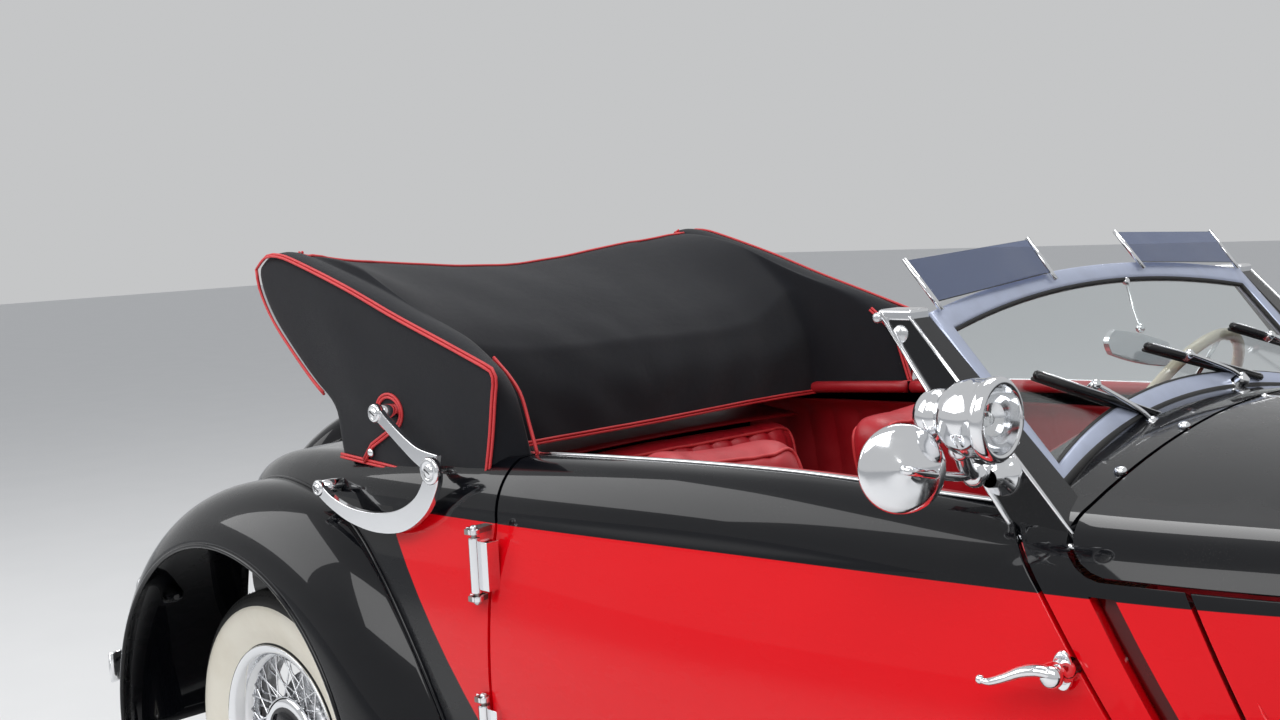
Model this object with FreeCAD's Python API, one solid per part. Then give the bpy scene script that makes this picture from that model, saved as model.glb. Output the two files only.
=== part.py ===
import FreeCAD, Part
import math
import os

Vector = FreeCAD.Vector

# Two-door drophead coupe of the middle 1930s, hood folded under its cover.
# Millimetres, +X forward, +Y to the car's left, +Z up from the road.
# The origin is on the road, midway between the bumpers, on the centre line.
# Lengths along the car are given as distances ahead of the rear axle.

# Whole car
LENGTH = 4600.0
WHEELBASE = 3050.0
REAR_OVERHANG = 800.0
TRACK = 1290.0
FENDER_WIDTH = 1710.0
SEAT_GAP = 0.3
RUN_CLEAR = 0.05
REAR_AXLE_X = -LENGTH / 2 + REAR_OVERHANG
FRONT_END = LENGTH - REAR_OVERHANG
FENDER_Y = FENDER_WIDTH / 2
WHEEL_Y = TRACK / 2

# Body panels and shut lines
WALL = 34.0
DOOR_T = 52.0
SHEET = 8.0
SHUT_GAP = 6.0
SIDE_BULGE = 26.0
BELT_Z = 967.0
DOOR_REAR = 840.0
DOOR_FRONT = 1938.0
DOOR_SLANT = 36.0
DOOR_NOSE = 2066.0
DOOR_GAP = 1.25 * SHUT_GAP
DOOR_REBATE = 14.0
DOOR_SKIN = 18.0
BONNET_REAR = 2142.0
SHUT_SLANT = 28.0
SILL_Z = 425.0
DOOR_TOP_IN = 598.0
MOUTH_REAR = 180.0
COCKPIT_FRONT = 1800.0
FIREWALL_T = 20.0
LID_REAR = 1948.0
LID_FRONT = 3205.0
LID_EDGE_Z = 1016.0
BONNET_FOOT_Z = 620.0
LID_CORNER_R = 70.0
LID_SPLIT = 10.0
CREST_REAR = (1948.0, 1169.2)
CREST_FRONT = (3208.0, 1121.3)
CREST_ROD_R = 4.5
TAIL_WALL = -455.0
WHEELHOUSE_R = 420.0
WHEELHOUSE_Y = 520.0

# Frame, floor and axles
RAIL_BOTTOM = 402.0
RAIL_TOP = 521.7
RAIL_IN = 322.0
RAIL_OUT = 382.0
RAIL_REAR = -560.0
RAIL_FRONT = 3330.0
FLOOR_Z = RAIL_TOP + SEAT_GAP
FLOOR_T = 26.0
FLOOR_HALF = 610.0
SILL_OUT = 636.0
SILL_W = 60.0
TYRE_R = 356.0
TYRE_W = 75.0
RIM_R = 231.0
KINGPIN_Y = 533.0
KINGPIN_R = 10.0
STUB_R = 18.0
AXLE_TUBE_R = 38.0
TIE_BACK = 150.0


def ahead(distance):
    """X of a place that lies so far ahead of the rear axle."""
    return REAR_AXLE_X + distance


FRONT_AXLE_X = ahead(WHEELBASE)


# Small makers of shapes

def box(x0, x1, y0, y1, z0, z1):
    return Part.makeBox(x1 - x0, y1 - y0, z1 - z0, Vector(x0, y0, z0))


def rod(start, end, radius):
    """A round bar from one point to another."""
    a, b = Vector(*start), Vector(*end)
    return Part.makeCylinder(radius, (b - a).Length, a, b - a)


def cone(start, end, r0, r1):
    a, b = Vector(*start), Vector(*end)
    return Part.makeCone(r0, r1, (b - a).Length, a, b - a)


def ball(centre, radius):
    """A knob: a ball with a small flat at each pole."""
    return Part.makeSphere(radius, Vector(*centre), Vector(0, 0, 1), -78, 78, 360)


def wire(points):
    """A closed wire: points join by lines, and a fourth entry 'via' bends an arc through that point."""
    edges = []
    loop = points + [points[0]]
    i = 0
    while i < len(loop) - 1:
        a = Vector(*loop[i][:3])
        if len(loop[i + 1]) == 4:
            edges.append(Part.Arc(a, Vector(*loop[i + 1][:3]), Vector(*loop[i + 2][:3])).toShape())
            i += 2
        else:
            edges.append(Part.LineSegment(a, Vector(*loop[i + 1][:3])).toShape())
            i += 1
    return Part.Wire(edges)


def prism(points, direction):
    return Part.Face(wire(points)).extrude(Vector(*direction))


def side_prism(outline, y0, y1):
    """A side outline of (x, z) points, carried across from y0 to y1."""
    return prism([(p[0], y0, p[1]) + tuple(p[2:]) for p in outline], (0, y1 - y0, 0))


def plan_prism(outline, z0, z1):
    return prism([(p[0], p[1], z0) + tuple(p[2:]) for p in outline], (0, 0, z1 - z0))


def front_prism(outline, x0, x1):
    """An outline of (y, z) points seen from the front, carried from x0 to x1."""
    return prism([(x0, p[0], p[1]) + tuple(p[2:]) for p in outline], (x1 - x0, 0, 0))


def spun_about_y(outline, x, y, z):
    """A ring from (radius, outward) points turned about a wheel's axis."""
    points = [(x, y + p[1], z + p[0]) + tuple(p[2:]) for p in outline]
    return Part.Face(wire(points)).revolve(Vector(x, y, z), Vector(0, 1, 0), 360)


def dome(radius, base, tip, flat=6.0):
    """(radius, height) points of a ball-shaped dome from base towards tip, with a small flat on top."""
    rise = tip - base
    ball_r = (radius ** 2 + rise ** 2) / (2 * rise)
    centre = tip - ball_r
    way = 1 if rise > 0 else -1
    mid = radius * 0.7

    def height(r):
        return centre + way * math.sqrt(ball_r ** 2 - r ** 2)
    return [(radius, base), (mid, height(mid), 'via'), (flat, height(flat)), (0, height(flat))]


def turned_about_x(outline, y, z):
    """A bowl from (radius, x) points, from tail to nose, turned about a line along the car."""
    points = [(p[1], 0, p[0]) + tuple(p[2:]) for p in outline]
    bowl = Part.Face(wire(points)).revolve(Vector(0, 0, 0), Vector(1, 0, 0), 360)
    bowl.translate(Vector(0, y, z))
    return bowl


def flipped(shape):
    """The same piece on the other side of the car."""
    return shape.mirror(Vector(0, 0, 0), Vector(0, 1, 0))


def fused(shapes):
    first = shapes[0]
    if len(shapes) > 1:
        first = first.multiFuse(list(shapes[1:]))
    return first.removeSplitter()


def pair(shape):
    """A piece and its mirror image, as two solids that don't touch."""
    return Part.makeCompound([shape, flipped(shape)])


# Body: one family of cross-sections from the tail to the radiator
# ahead of rear axle, belt half width, belt height, foot half width, foot height,
# shoulder half width, shoulder height, crown height
# The last one lies inside the radiator's outline ahead of the bonnet, and only guides the form.
OPEN_BELOW = 60.0
BODY_SECTIONS = [
    (-500.0, 400.0, 650.0, 380.0, 545.0, 330.0, 700.0, 712.0),
    (-385.0, 505.0, 810.0, 490.0, 538.0, 430.0, 866.0, 884.0),
    (-140.0, 628.0, 930.0, 630.0, 460.0, 558.0, 992.0, 1012.0),
    (250.0, 700.0, 960.0, 715.0, SILL_Z, 635.0, 1046.0, 1050.0),
    (840.0, 724.0, BELT_Z, 735.0, SILL_Z, 655.0, 1080.0, 1084.0),
    (1420.0, 704.0, 977.0, 722.0, SILL_Z, 640.0, 1095.0, 1140.0),
    (1900.0, 684.0, 986.0, 700.0, SILL_Z, 590.0, 1088.0, 1172.0),
    (2160.0, 654.0, 991.0, 668.0, SILL_Z, 545.0, 1088.0, 1162.0),
    (2510.0, 556.0, 998.0, 566.0, 530.0, 450.0, 1081.0, 1149.0),
    (2860.0, 442.0, 1004.0, 448.0, 530.0, 342.0, 1073.0, 1135.5),
    (3215.0, 322.0, 1010.0, 326.0, 530.0, 238.0, 1062.0, 1122.0),
    (3400.0, 259.0, 1013.0, 262.0, 530.0, 183.0, 1056.0, 1115.0),
]


def body_section(row, inset):
    """One closed cross-section, drawn in by inset on every side, and then open below the foot."""
    x, belt_w, belt_h, foot_w, foot_h, top_w, top_h, crown = row
    w_mid = max(belt_w, foot_w) + SIDE_BULGE * (belt_h - foot_h) / 540.0 - inset
    z_mid = foot_h + 0.45 * (belt_h - foot_h)
    bw, fw, tw = belt_w - inset, foot_w - inset, top_w - inset
    th, ch = top_h - inset, crown - inset
    mid_w = (bw + tw) / 2 + 0.16 * (th - belt_h)
    mid_h = (belt_h + th) / 2 + 0.16 * (bw - tw)
    if inset > 0:
        foot_h -= OPEN_BELOW
    px = ahead(x)
    return wire([
        (px, -fw, foot_h), (px, -w_mid, z_mid, 'via'), (px, -bw, belt_h),
        (px, -mid_w, mid_h, 'via'), (px, -tw, th),
        (px, 0, ch, 'via'), (px, tw, th),
        (px, mid_w, mid_h, 'via'), (px, bw, belt_h),
        (px, w_mid, z_mid, 'via'), (px, fw, foot_h),
    ])


def body_solid(inset=0.0):
    return Part.makeLoft([body_section(row, inset) for row in BODY_SECTIONS], True, False)


def behind_slant(at_belt, slant, y0, y1, nose=4000.0):
    """All space behind a shut line that leans back by slant degrees, and behind the plane at nose."""
    def edge(z):
        return ahead(at_belt) - (z - BELT_Z) * math.tan(math.radians(slant))
    space = side_prism([(-3000, 0), (edge(0), 0), (edge(1300), 1300), (-3000, 1300)], y0, y1)
    return space.common(box(-3000, ahead(nose), y0, y1, 0, 1300))


def behind_door(shift, y0, y1):
    """The space behind the door's front edge, moved forward by shift."""
    return behind_slant(DOOR_FRONT + shift, DOOR_SLANT, y0, y1, DOOR_NOSE + shift)


def behind_bonnet(shift, y0, y1):
    return behind_slant(BONNET_REAR + shift, SHUT_SLANT, y0, y1)


def wheel_drums(radius, y_inner):
    """A pair of drums about the rear wheel axis, from y_inner outwards."""
    drum = rod((REAR_AXLE_X, y_inner, TYRE_R), (REAR_AXLE_X, 950.0, TYRE_R), radius)
    return [drum, flipped(drum)]


def lid_outline(grow):
    """Side outline of a bonnet lid, with its rounded lower rear corner."""
    x0, x1 = ahead(LID_REAR) - grow, ahead(LID_FRONT) + 5 * grow
    z0, r = LID_EDGE_Z - grow, LID_CORNER_R
    k = r * (1 - math.sqrt(0.5))
    return [(x0, 1300), (x0, z0 + r), (x0 + k, z0 + k, 'via'), (x0 + r, z0), (x1, z0), (x1, 1300)]


def crest_rod(radius):
    """The bonnet's long hinge, along the crest from the scuttle to the radiator."""
    return rod((ahead(CREST_REAR[0]) - 14, 0, CREST_REAR[1] + 0.5), (ahead(CREST_FRONT[0]), 0, CREST_FRONT[1]), radius)


def make_body_panels():
    """Quarters with tail, doors, scuttle and bonnet, all cut from the one outer form."""
    outer = body_solid()
    rear = outer.common(box(-3000, ahead(DOOR_REAR), -1000, 1000, 0, 1300))
    front = outer.common(box(ahead(DOOR_REAR + SHUT_GAP), 3000, -1000, 1000, 0, 1300))
    inner = body_solid(WALL)

    cavity = inner.common(box(ahead(TAIL_WALL), ahead(DOOR_REAR) + 50, -1000, 1000, 0, 1300))
    for drum in wheel_drums(WHEELHOUSE_R + WALL / 2, WHEELHOUSE_Y - WALL / 2):
        cavity = cavity.cut(drum)
    shell = rear.cut(cavity)
    shell = shell.cut(box(ahead(MOUTH_REAR), ahead(DOOR_REAR) + 50, -DOOR_TOP_IN, DOOR_TOP_IN, 900, 1300))
    for drum in wheel_drums(WHEELHOUSE_R, WHEELHOUSE_Y):
        shell = shell.cut(drum)

    door = front.common(behind_door(0, -1000, 0)).cut(body_solid(DOOR_T))
    door = door.cut(body_solid(DOOR_SKIN).cut(behind_door(-DOOR_REBATE, -1000, 1000)))
    door = door.cut(box(-3000, 3000, -DOOR_TOP_IN, 0, 1000, 1300))

    scuttle_side = behind_bonnet(-SHUT_GAP, -1000, 1000).cut(behind_door(DOOR_GAP, -1000, 1000))
    roof_half = DOOR_TOP_IN - SHUT_GAP
    scuttle_roof = box(ahead(COCKPIT_FRONT), ahead(LID_REAR), -roof_half, roof_half, 1000, 1300)
    scuttle = front.common(scuttle_side.fuse(scuttle_roof))
    firewall_x = ahead(LID_REAR) - FIREWALL_T
    scuttle = scuttle.cut(inner.common(box(-3000, firewall_x, -1000, 1000, 0, 1300)))
    scuttle = scuttle.cut(inner.common(box(firewall_x + FIREWALL_T, 3000, -1000, 1000, 0, 1300)))
    scuttle = scuttle.cut(side_prism(lid_outline(SHUT_GAP), -1000, 1000))
    scuttle = scuttle.cut(box(-3000, 3000, -SILL_OUT - SEAT_GAP, SILL_OUT + SEAT_GAP, 0, FLOOR_Z + FLOOR_T + SEAT_GAP))

    skin = front.cut(body_solid(SHEET))
    lid = skin.common(side_prism(lid_outline(0), -1000, -LID_SPLIT / 2))
    lid = lid.cut(crest_rod(CREST_ROD_R + 0.5))
    bonnet_side = skin.common(box(-3000, ahead(LID_FRONT), -1000, -200, BONNET_FOOT_Z, LID_EDGE_Z - SHUT_GAP))
    bonnet_side = bonnet_side.cut(behind_bonnet(0, -1000, 1000))
    return shell, door, scuttle, lid, bonnet_side


def make_floor():
    """Flat floor on the frame rails, with a box sill along each side."""
    floor = box(ahead(-330), ahead(LID_REAR) - FIREWALL_T - 2, -FLOOR_HALF, FLOOR_HALF, FLOOR_Z, FLOOR_Z + FLOOR_T)
    sill = box(ahead(460), ahead(2080), SILL_OUT - SILL_W, SILL_OUT, SILL_Z + 12, FLOOR_Z + FLOOR_T)
    quarter = body_solid(WALL + SEAT_GAP).common(
        box(ahead(465), ahead(DOOR_REAR) - 1, SILL_OUT - 10, 800, SILL_Z + 12, FLOOR_Z + FLOOR_T))
    floor = fused([floor, sill, flipped(sill), quarter, flipped(quarter)])
    for drum in wheel_drums(WHEELHOUSE_R + WALL / 2 + 1, WHEELHOUSE_Y - WALL / 2 - 1):
        floor = floor.cut(drum)
    return floor


# Frame and axles

# ahead of rear axle, bottom, top: cross-members of the frame
CROSS_MEMBERS = [(-545.0, 440.0, 505.0), (760.0, 440.0, 505.0), (1500.0, 440.0, 505.0),
                 (2250.0, RAIL_BOTTOM, 448.0), (2780.0, RAIL_BOTTOM, 448.0), (3270.0, RAIL_BOTTOM, 430.0)]
# ahead of rear axle: outriggers that carry the sills, and brackets of the running boards
OUTRIGGERS = [700.0, 1250.0, 1800.0]
# jacking pads under the rails: ahead of rear axle, radius, height
JACK_PAD = (1050.0, 28.0, 8.0)
TORQUE_REAR, TORQUE_FRONT, TORQUE_R = (120.0, TYRE_R), (1717.9, 455.0), 28.0
GEARBOX = (1720.0, 2110.0, 100.0, 408.0, 512.0)
ENGINE = (2105.0, 2860.0, 205.0, 448.3, 930.0)


def make_frame():
    rail = box(ahead(RAIL_REAR), ahead(RAIL_FRONT), RAIL_IN, RAIL_OUT, RAIL_BOTTOM, RAIL_TOP)
    pieces = [rail, flipped(rail)]
    for x, z0, z1 in CROSS_MEMBERS:
        pieces.append(box(ahead(x) - 25, ahead(x) + 25, -RAIL_IN, RAIL_IN, z0, z1))
    for x in OUTRIGGERS:
        arm = box(ahead(x) - 20, ahead(x) + 20, RAIL_OUT, SILL_OUT - SILL_W - SEAT_GAP, 462, 506)
        stay = front_prism([(RAIL_OUT, 404), (RAIL_OUT, 440), (BOARD_IN - 20, BOARD_Z - SEAT_GAP),
                            (BOARD_OUT - 60, BOARD_Z - SEAT_GAP), (BOARD_OUT - 60, BOARD_Z - 12),
                            (BOARD_IN - 40, BOARD_Z - 12)], ahead(x) - 12, ahead(x) + 12)
        pieces += [arm, flipped(arm), stay, flipped(stay)]
    for side in (-1, 1):
        x, y = ahead(JACK_PAD[0]), side * (RAIL_IN + RAIL_OUT) / 2
        pieces.append(rod((x, y, RAIL_BOTTOM - JACK_PAD[2]), (x, y, RAIL_BOTTOM + 2), JACK_PAD[1]))
    frame = fused(pieces)
    path = [(ahead(TORQUE_REAR[0]), 0, TORQUE_REAR[1]), (ahead(TORQUE_FRONT[0]), 0, TORQUE_FRONT[1])]
    return frame.cut(rod(path[0], path[1], TORQUE_R + 12))


BOARD_Z = 318.0
BOARD_T = 26.0
BOARD_IN = 662.0
BOARD_OUT = 838.0
BEAM_TOP = 349.7
BEAM_H = 58.0
BEAM_HALF = 21.0
EYE_R = 22.0
EYE_LOW, EYE_HIGH = 314.0, 394.0
EAR_T = 24.0
PLATE_IN, PLATE_OUT, PLATE_R = 556.0, 566.0, 152.0


def make_front_axle():
    """Solid beam with an upright kingpin through each end."""
    beam = box(FRONT_AXLE_X - BEAM_HALF, FRONT_AXLE_X + BEAM_HALF, -KINGPIN_Y, KINGPIN_Y, BEAM_TOP - BEAM_H, BEAM_TOP)
    pieces = [beam]
    clear = []
    for side in (-1, 1):
        y = side * KINGPIN_Y
        x = FRONT_AXLE_X
        pieces.append(rod((x, y, EYE_LOW), (x, y, EYE_HIGH), EYE_R))
        pieces.append(rod((x, y, EYE_LOW - EAR_T - 4), (x, y, EYE_HIGH + EAR_T + 4), KINGPIN_R))
        clear.append(rod((x, y, EYE_LOW - EAR_T - 40), (x, y, EYE_LOW), 2 * EYE_R + 2))
    beam = fused(pieces[:1]).cut(clear[0]).cut(clear[1])
    return fused([beam] + pieces[1:])


def make_knuckle():
    """Left knuckle: two ears round the kingpin, brake plate, stub axle and steering arm."""
    x, y = FRONT_AXLE_X, KINGPIN_Y
    low0, low1 = EYE_LOW - EAR_T - SEAT_GAP, EYE_LOW - SEAT_GAP
    high0, high1 = EYE_HIGH + SEAT_GAP, EYE_HIGH + EAR_T + SEAT_GAP
    pieces = [rod((x, PLATE_IN, TYRE_R), (x, PLATE_OUT, TYRE_R), PLATE_R),
              rod((x, PLATE_OUT - 4, TYRE_R), (x, WHEEL_Y + HUB_BORE_END - 2, TYRE_R), STUB_R)]
    for z0, z1 in ((low0, low1), (high0, high1)):
        pieces.append(rod((x, y, z0), (x, y, z1), EYE_R))
        pieces.append(box(x - EYE_R, x + EYE_R, y, PLATE_IN + 4, z0, z1))
    pieces.append(box(x - TIE_BACK - 14, x, y - 15, y + 15, low0, low1 - 4))
    pieces.append(rod((x - TIE_BACK, y, low0 - 34), (x - TIE_BACK, y, low0 + 2), TIE_PIN_R))
    knuckle = fused(pieces)
    return knuckle.cut(rod((x, y, low0 - 1), (x, y, high1 + 1), KINGPIN_R + RUN_CLEAR))


TIE_PIN_R = 8.0


def make_tie_rod():
    """Track rod between the two steering arms, with an eye round each arm's pin."""
    x, y = FRONT_AXLE_X - TIE_BACK, KINGPIN_Y
    top = EYE_LOW - EAR_T - 2 * SEAT_GAP
    z0, z1 = top - 28, top
    mid = (z0 + z1) / 2
    pieces = [rod((x, -y, mid), (x, y, mid), 11)]
    bores = []
    for side in (-1, 1):
        pieces.append(rod((x, side * y, z0), (x, side * y, z1), 17))
        bores.append(rod((x, side * y, z0 - 1), (x, side * y, z1 + 1), TIE_PIN_R + RUN_CLEAR))
    return fused(pieces).cut(bores[0]).cut(bores[1])


def make_rear_axle():
    """Banjo axle with its torque tube, brake plates and stub ends."""
    x = REAR_AXLE_X
    pieces = [rod((x, -PLATE_OUT, TYRE_R), (x, PLATE_OUT, TYRE_R), AXLE_TUBE_R),
              rod((x, -60, TYRE_R), (x, 60, TYRE_R), 122),
              cone((x, -60, TYRE_R), (x, -170, TYRE_R), 110, AXLE_TUBE_R),
              cone((x, 60, TYRE_R), (x, 170, TYRE_R), 110, AXLE_TUBE_R),
              rod((ahead(60), 0, TYRE_R), (ahead(TORQUE_FRONT[0]), 0, TORQUE_FRONT[1]), TORQUE_R)]
    for side in (-1, 1):
        pieces.append(rod((x, side * PLATE_IN, TYRE_R), (x, side * PLATE_OUT, TYRE_R), PLATE_R))
        pieces.append(rod((x, side * PLATE_IN, TYRE_R), (x, side * (WHEEL_Y + HUB_BORE_END - 2), TYRE_R), STUB_R))
    return fused(pieces)


def make_springs():
    """Four leaf springs: the front pair under the rails, the rear pair beside them on shackle pins."""
    def leaf(x, half, low, high, rise, y0, y1):
        outline = [(x - half, low + rise), (x, low, 'via'), (x + half, low + rise),
                   (x + half, low + rise + 14), (x, high, 'via'), (x - half, low + rise + 14)]
        return side_prism(outline, y0, y1)
    seat = BEAM_TOP + SEAT_GAP
    front = leaf(FRONT_AXLE_X, 430, seat, 384, RAIL_BOTTOM - SEAT_GAP - 14 - seat, 328, 378)
    rear_low = TYRE_R + AXLE_TUBE_R + SEAT_GAP
    rear = leaf(REAR_AXLE_X, 520, rear_low, rear_low + 34, 62, 405, 455)
    for side in (-1, 1):
        x = REAR_AXLE_X + side * 512
        rear = rear.fuse(rod((x, RAIL_OUT + SEAT_GAP, rear_low + 70), (x, 462, rear_low + 70), 13))
    rear = rear.removeSplitter()
    return Part.makeCompound([front, flipped(front), rear, flipped(rear)])


# Wheels

# outward from the wheel's middle: hub drum, brake drum, cap
HUB_IN, HUB_OUT, HUB_R = -40.0, 26.0, 74.0
DRUM_IN, DRUM_OUT, DRUM_R = -73.0, -38.0, 148.0
CAP_R, CAP_RIM, CAP_TIP = 105.0, 36.0, 54.0
HUB_BORE_END = 20.0
SPOKES = 20
SPOKE_R = 2.3


def wire_spoke(start, end):
    """A six-sided wire from one point to another."""
    a, b = Vector(*start), Vector(*end)
    way = (b - a).normalize()
    one = way.cross(Vector(0, 1, 0)).normalize()
    two = way.cross(one)
    ring = [a + one * (SPOKE_R * math.cos(math.radians(60 * k))) + two * (SPOKE_R * math.sin(math.radians(60 * k)))
            for k in range(6)]
    return Part.Face(Part.makePolygon(ring + [ring[0]])).extrude(Vector(*end) - a)


def make_wheel(x, side):
    """Wire wheel: rolled rim, crossed spokes in two rings, hub with brake drum and domed cap."""
    y = WHEEL_Y
    rim = spun_about_y([(RIM_R, -60), (RIM_R, -53), (213, -50), (213, -24), (203, -20), (203, 20), (213, 24),
                        (213, 50), (RIM_R, 53), (RIM_R, 60), (226, 60), (208, 56), (208, 29), (198, 25),
                        (198, -25), (208, -29), (208, -56), (226, -60)], x, y, TYRE_R)
    hub = spun_about_y([(0, HUB_BORE_END), (STUB_R + RUN_CLEAR, HUB_BORE_END), (STUB_R + RUN_CLEAR, DRUM_IN),
                        (DRUM_R - 8, DRUM_IN), (DRUM_R, DRUM_IN + 8), (DRUM_R, DRUM_OUT), (HUB_R, DRUM_OUT),
                        (HUB_R, HUB_OUT), (CAP_R, HUB_OUT)] + dome(CAP_R, CAP_RIM, CAP_TIP), x, y, TYRE_R)
    spokes = []
    for i in range(SPOKES):
        turn = 2 * math.pi * i / SPOKES
        hand = 1 if i % 2 else -1
        # outward place and radius at the hub, outward place at the rim, swing round the hub
        for w_hub, r_hub, w_rim, swing in ((HUB_OUT - 6, HUB_R - 4, 14.0, 0.62), (HUB_IN + 12, HUB_R - 4, -14.0, 0.46)):
            a, b = turn + hand * swing, turn
            start = (x + r_hub * math.cos(a), y + w_hub, TYRE_R + r_hub * math.sin(a))
            end = (x + 201 * math.cos(b), y + w_rim, TYRE_R + 201 * math.sin(b))
            spokes.append(wire_spoke(start, end))
    wheel = fused([rim, hub] + spokes)
    return wheel if side > 0 else flipped(wheel)


def make_tyre(x, side):
    half = [(213.4, 49.6), (236, 52.4), (302, TYRE_W), (TYRE_R, 32)]
    tyre = spun_about_y([(r, -w) for r, w in half] + half[::-1], x, WHEEL_Y, TYRE_R)
    return tyre if side > 0 else flipped(tyre)


# Fenders

# angle round the wheel from straight ahead, lip radius, crown radius, crown y, inner radius, inner y
REAR_FENDER = [
    (-3.0, 520.0, 745.0, 745.0, 740.0, 660.0),
    (20.0, 520.0, 735.0, 742.0, 730.0, 660.0),
    (48.0, 515.0, 690.0, 728.0, 690.0, 640.0),
    (80.0, 495.0, 625.0, 715.0, 630.0, 600.0),
    (115.0, 480.0, 585.0, 712.0, 590.0, 540.0),
    (150.0, 474.0, 560.0, 715.0, 565.0, 480.0),
    (186.0, 472.0, 520.0, 730.0, 520.0, 460.0),
]
FRONT_FENDER = [
    (-14.0, 470.0, 500.0, 740.0, 495.0, 470.0),
    (30.0, 480.0, 560.0, 725.0, 500.0, 420.0),
    (75.0, 490.0, 600.0, 715.0, 490.0, 400.0),
    (115.0, 500.0, 630.0, 715.0, 530.0, 430.0),
    (145.0, 520.0, 700.0, 725.0, 640.0, 520.0),
    (168.0, 590.0, 820.0, 742.0, 790.0, 640.0),
    (182.0, 800.0, 960.0, 760.0, 955.0, 664.0),
]
FENDER_T = 7.0


def make_fender(wheel_x, table, grow=0.0):
    """Left fender as one curved shell, its sections standing round the wheel like pages."""
    wires = []
    for angle, lip_r, crown_r, crown_y, in_r, in_y in table:
        lip_r, crown_r, in_r, crown_y = lip_r + grow, crown_r + grow, in_r + grow, crown_y + grow
        c, s = math.cos(math.radians(angle)), math.sin(math.radians(angle))

        def at(radius, y):
            return (wheel_x + radius * c, y, TYRE_R + radius * s)
        t = FENDER_T
        mid_r, mid_y = (lip_r + crown_r) / 2 + 16, (FENDER_Y + crown_y) / 2 + 26
        wires.append(wire([
            at(lip_r, FENDER_Y), at(mid_r, mid_y) + ('via',), at(crown_r, crown_y), at(in_r, in_y),
            at(in_r - t, in_y), at(crown_r - t, crown_y), at(mid_r - t, mid_y - t) + ('via',),
            at(lip_r, FENDER_Y - t)]))
    return Part.makeLoft(wires, True, False)


def make_fenders():
    body = body_solid(-0.4)
    front = make_fender(FRONT_AXLE_X, FRONT_FENDER).cut(body)
    rear = make_fender(REAR_AXLE_X, REAR_FENDER).cut(body)
    return front, rear


def make_running_boards():
    x0, x1 = ahead(800), ahead(2085)
    board = box(x0, x1, BOARD_IN, BOARD_OUT, BOARD_Z, BOARD_Z + BOARD_T)
    apron = box(x0, x1, BOARD_IN, BOARD_IN + 8, BOARD_Z, SILL_Z - 8)
    return pair(fused([board, apron]))


# Nose

def radiator_outline(grow):
    """Half-heart outline of the radiator, in (y, z)."""
    low, bottom = 205.0 + grow, 430.3 - grow
    wide, shoulder = 326.0 + grow, 1008.0
    top_w, top_h, crown = 243.0 + grow, 1074.0 + grow, 1127.0 + grow
    return [(-low, bottom), (-wide + 8, 760, 'via'), (-wide, shoulder), (-(wide + top_w) / 2 - 8, 1048 + grow, 'via'),
            (-top_w, top_h), (0, crown, 'via'), (top_w, top_h), ((wide + top_w) / 2 + 8, 1048 + grow, 'via'),
            (wide, shoulder), (wide - 8, 760, 'via'), (low, bottom)]


RADIATOR_REAR, RADIATOR_FRONT = 3209.0, 3330.0
RADIATOR_BAND = 30.0
GRILLE_BARS = 23


def make_radiator():
    shell = front_prism(radiator_outline(0), ahead(RADIATOR_REAR), ahead(RADIATOR_FRONT))
    hole = front_prism(radiator_outline(-RADIATOR_BAND), ahead(RADIATOR_REAR) - 5, ahead(RADIATOR_FRONT) + 5)
    return shell.cut(hole)


def make_grille():
    """Upright slats on a core plate, filling the radiator's opening."""
    inside = radiator_outline(-RADIATOR_BAND - SEAT_GAP)
    core = front_prism(inside, ahead(RADIATOR_REAR) + 10, ahead(RADIATOR_REAR) + 60)
    reach = front_prism(inside, ahead(RADIATOR_REAR) + 10, ahead(RADIATOR_FRONT) - 12)
    pitch = 540.0 / GRILLE_BARS
    slats = [box(ahead(RADIATOR_REAR) + 50, ahead(RADIATOR_FRONT) - 14, (i - GRILLE_BARS // 2) * pitch - 3,
                 (i - GRILLE_BARS // 2) * pitch + 3, 300, 1300) for i in range(GRILLE_BARS)]
    return fused([core, Part.makeCompound(slats).common(reach)])


LAMP_Y, LAMP_Z, LAMP_R = 440.0, 885.0, 112.0
LAMP_REAR, LAMP_FRONT = 3290.0, 3490.0


def make_headlamps():
    """Two bowls, each on a post that stands on its fender."""
    x0, x1 = ahead(LAMP_REAR), ahead(LAMP_FRONT)
    back = dome(LAMP_R - 26, x0 + 52, x0)
    bowl = turned_about_x(back[::-1] + [(LAMP_R, x1 - 45), (LAMP_R, x1 - 10)] + dome(LAMP_R - 6, x1 - 10, x1 + 6),
                          LAMP_Y, LAMP_Z)
    post = cone((ahead(3370), LAMP_Y + 10, LAMP_Z - 330), (ahead(3390), LAMP_Y, LAMP_Z - 60), 34, 17)
    lamp = fused([bowl, post]).cut(make_fender(FRONT_AXLE_X, FRONT_FENDER, SEAT_GAP))
    return pair(max(lamp.Solids, key=lambda piece: piece.Volume))


BUMPER_Z0, BUMPER_Z1 = 392.0, 470.0
BUMPER_HALF = 780.0
PLATE_HOLE_Y, PLATE_HOLE_R = 90.0, 3.5


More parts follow.
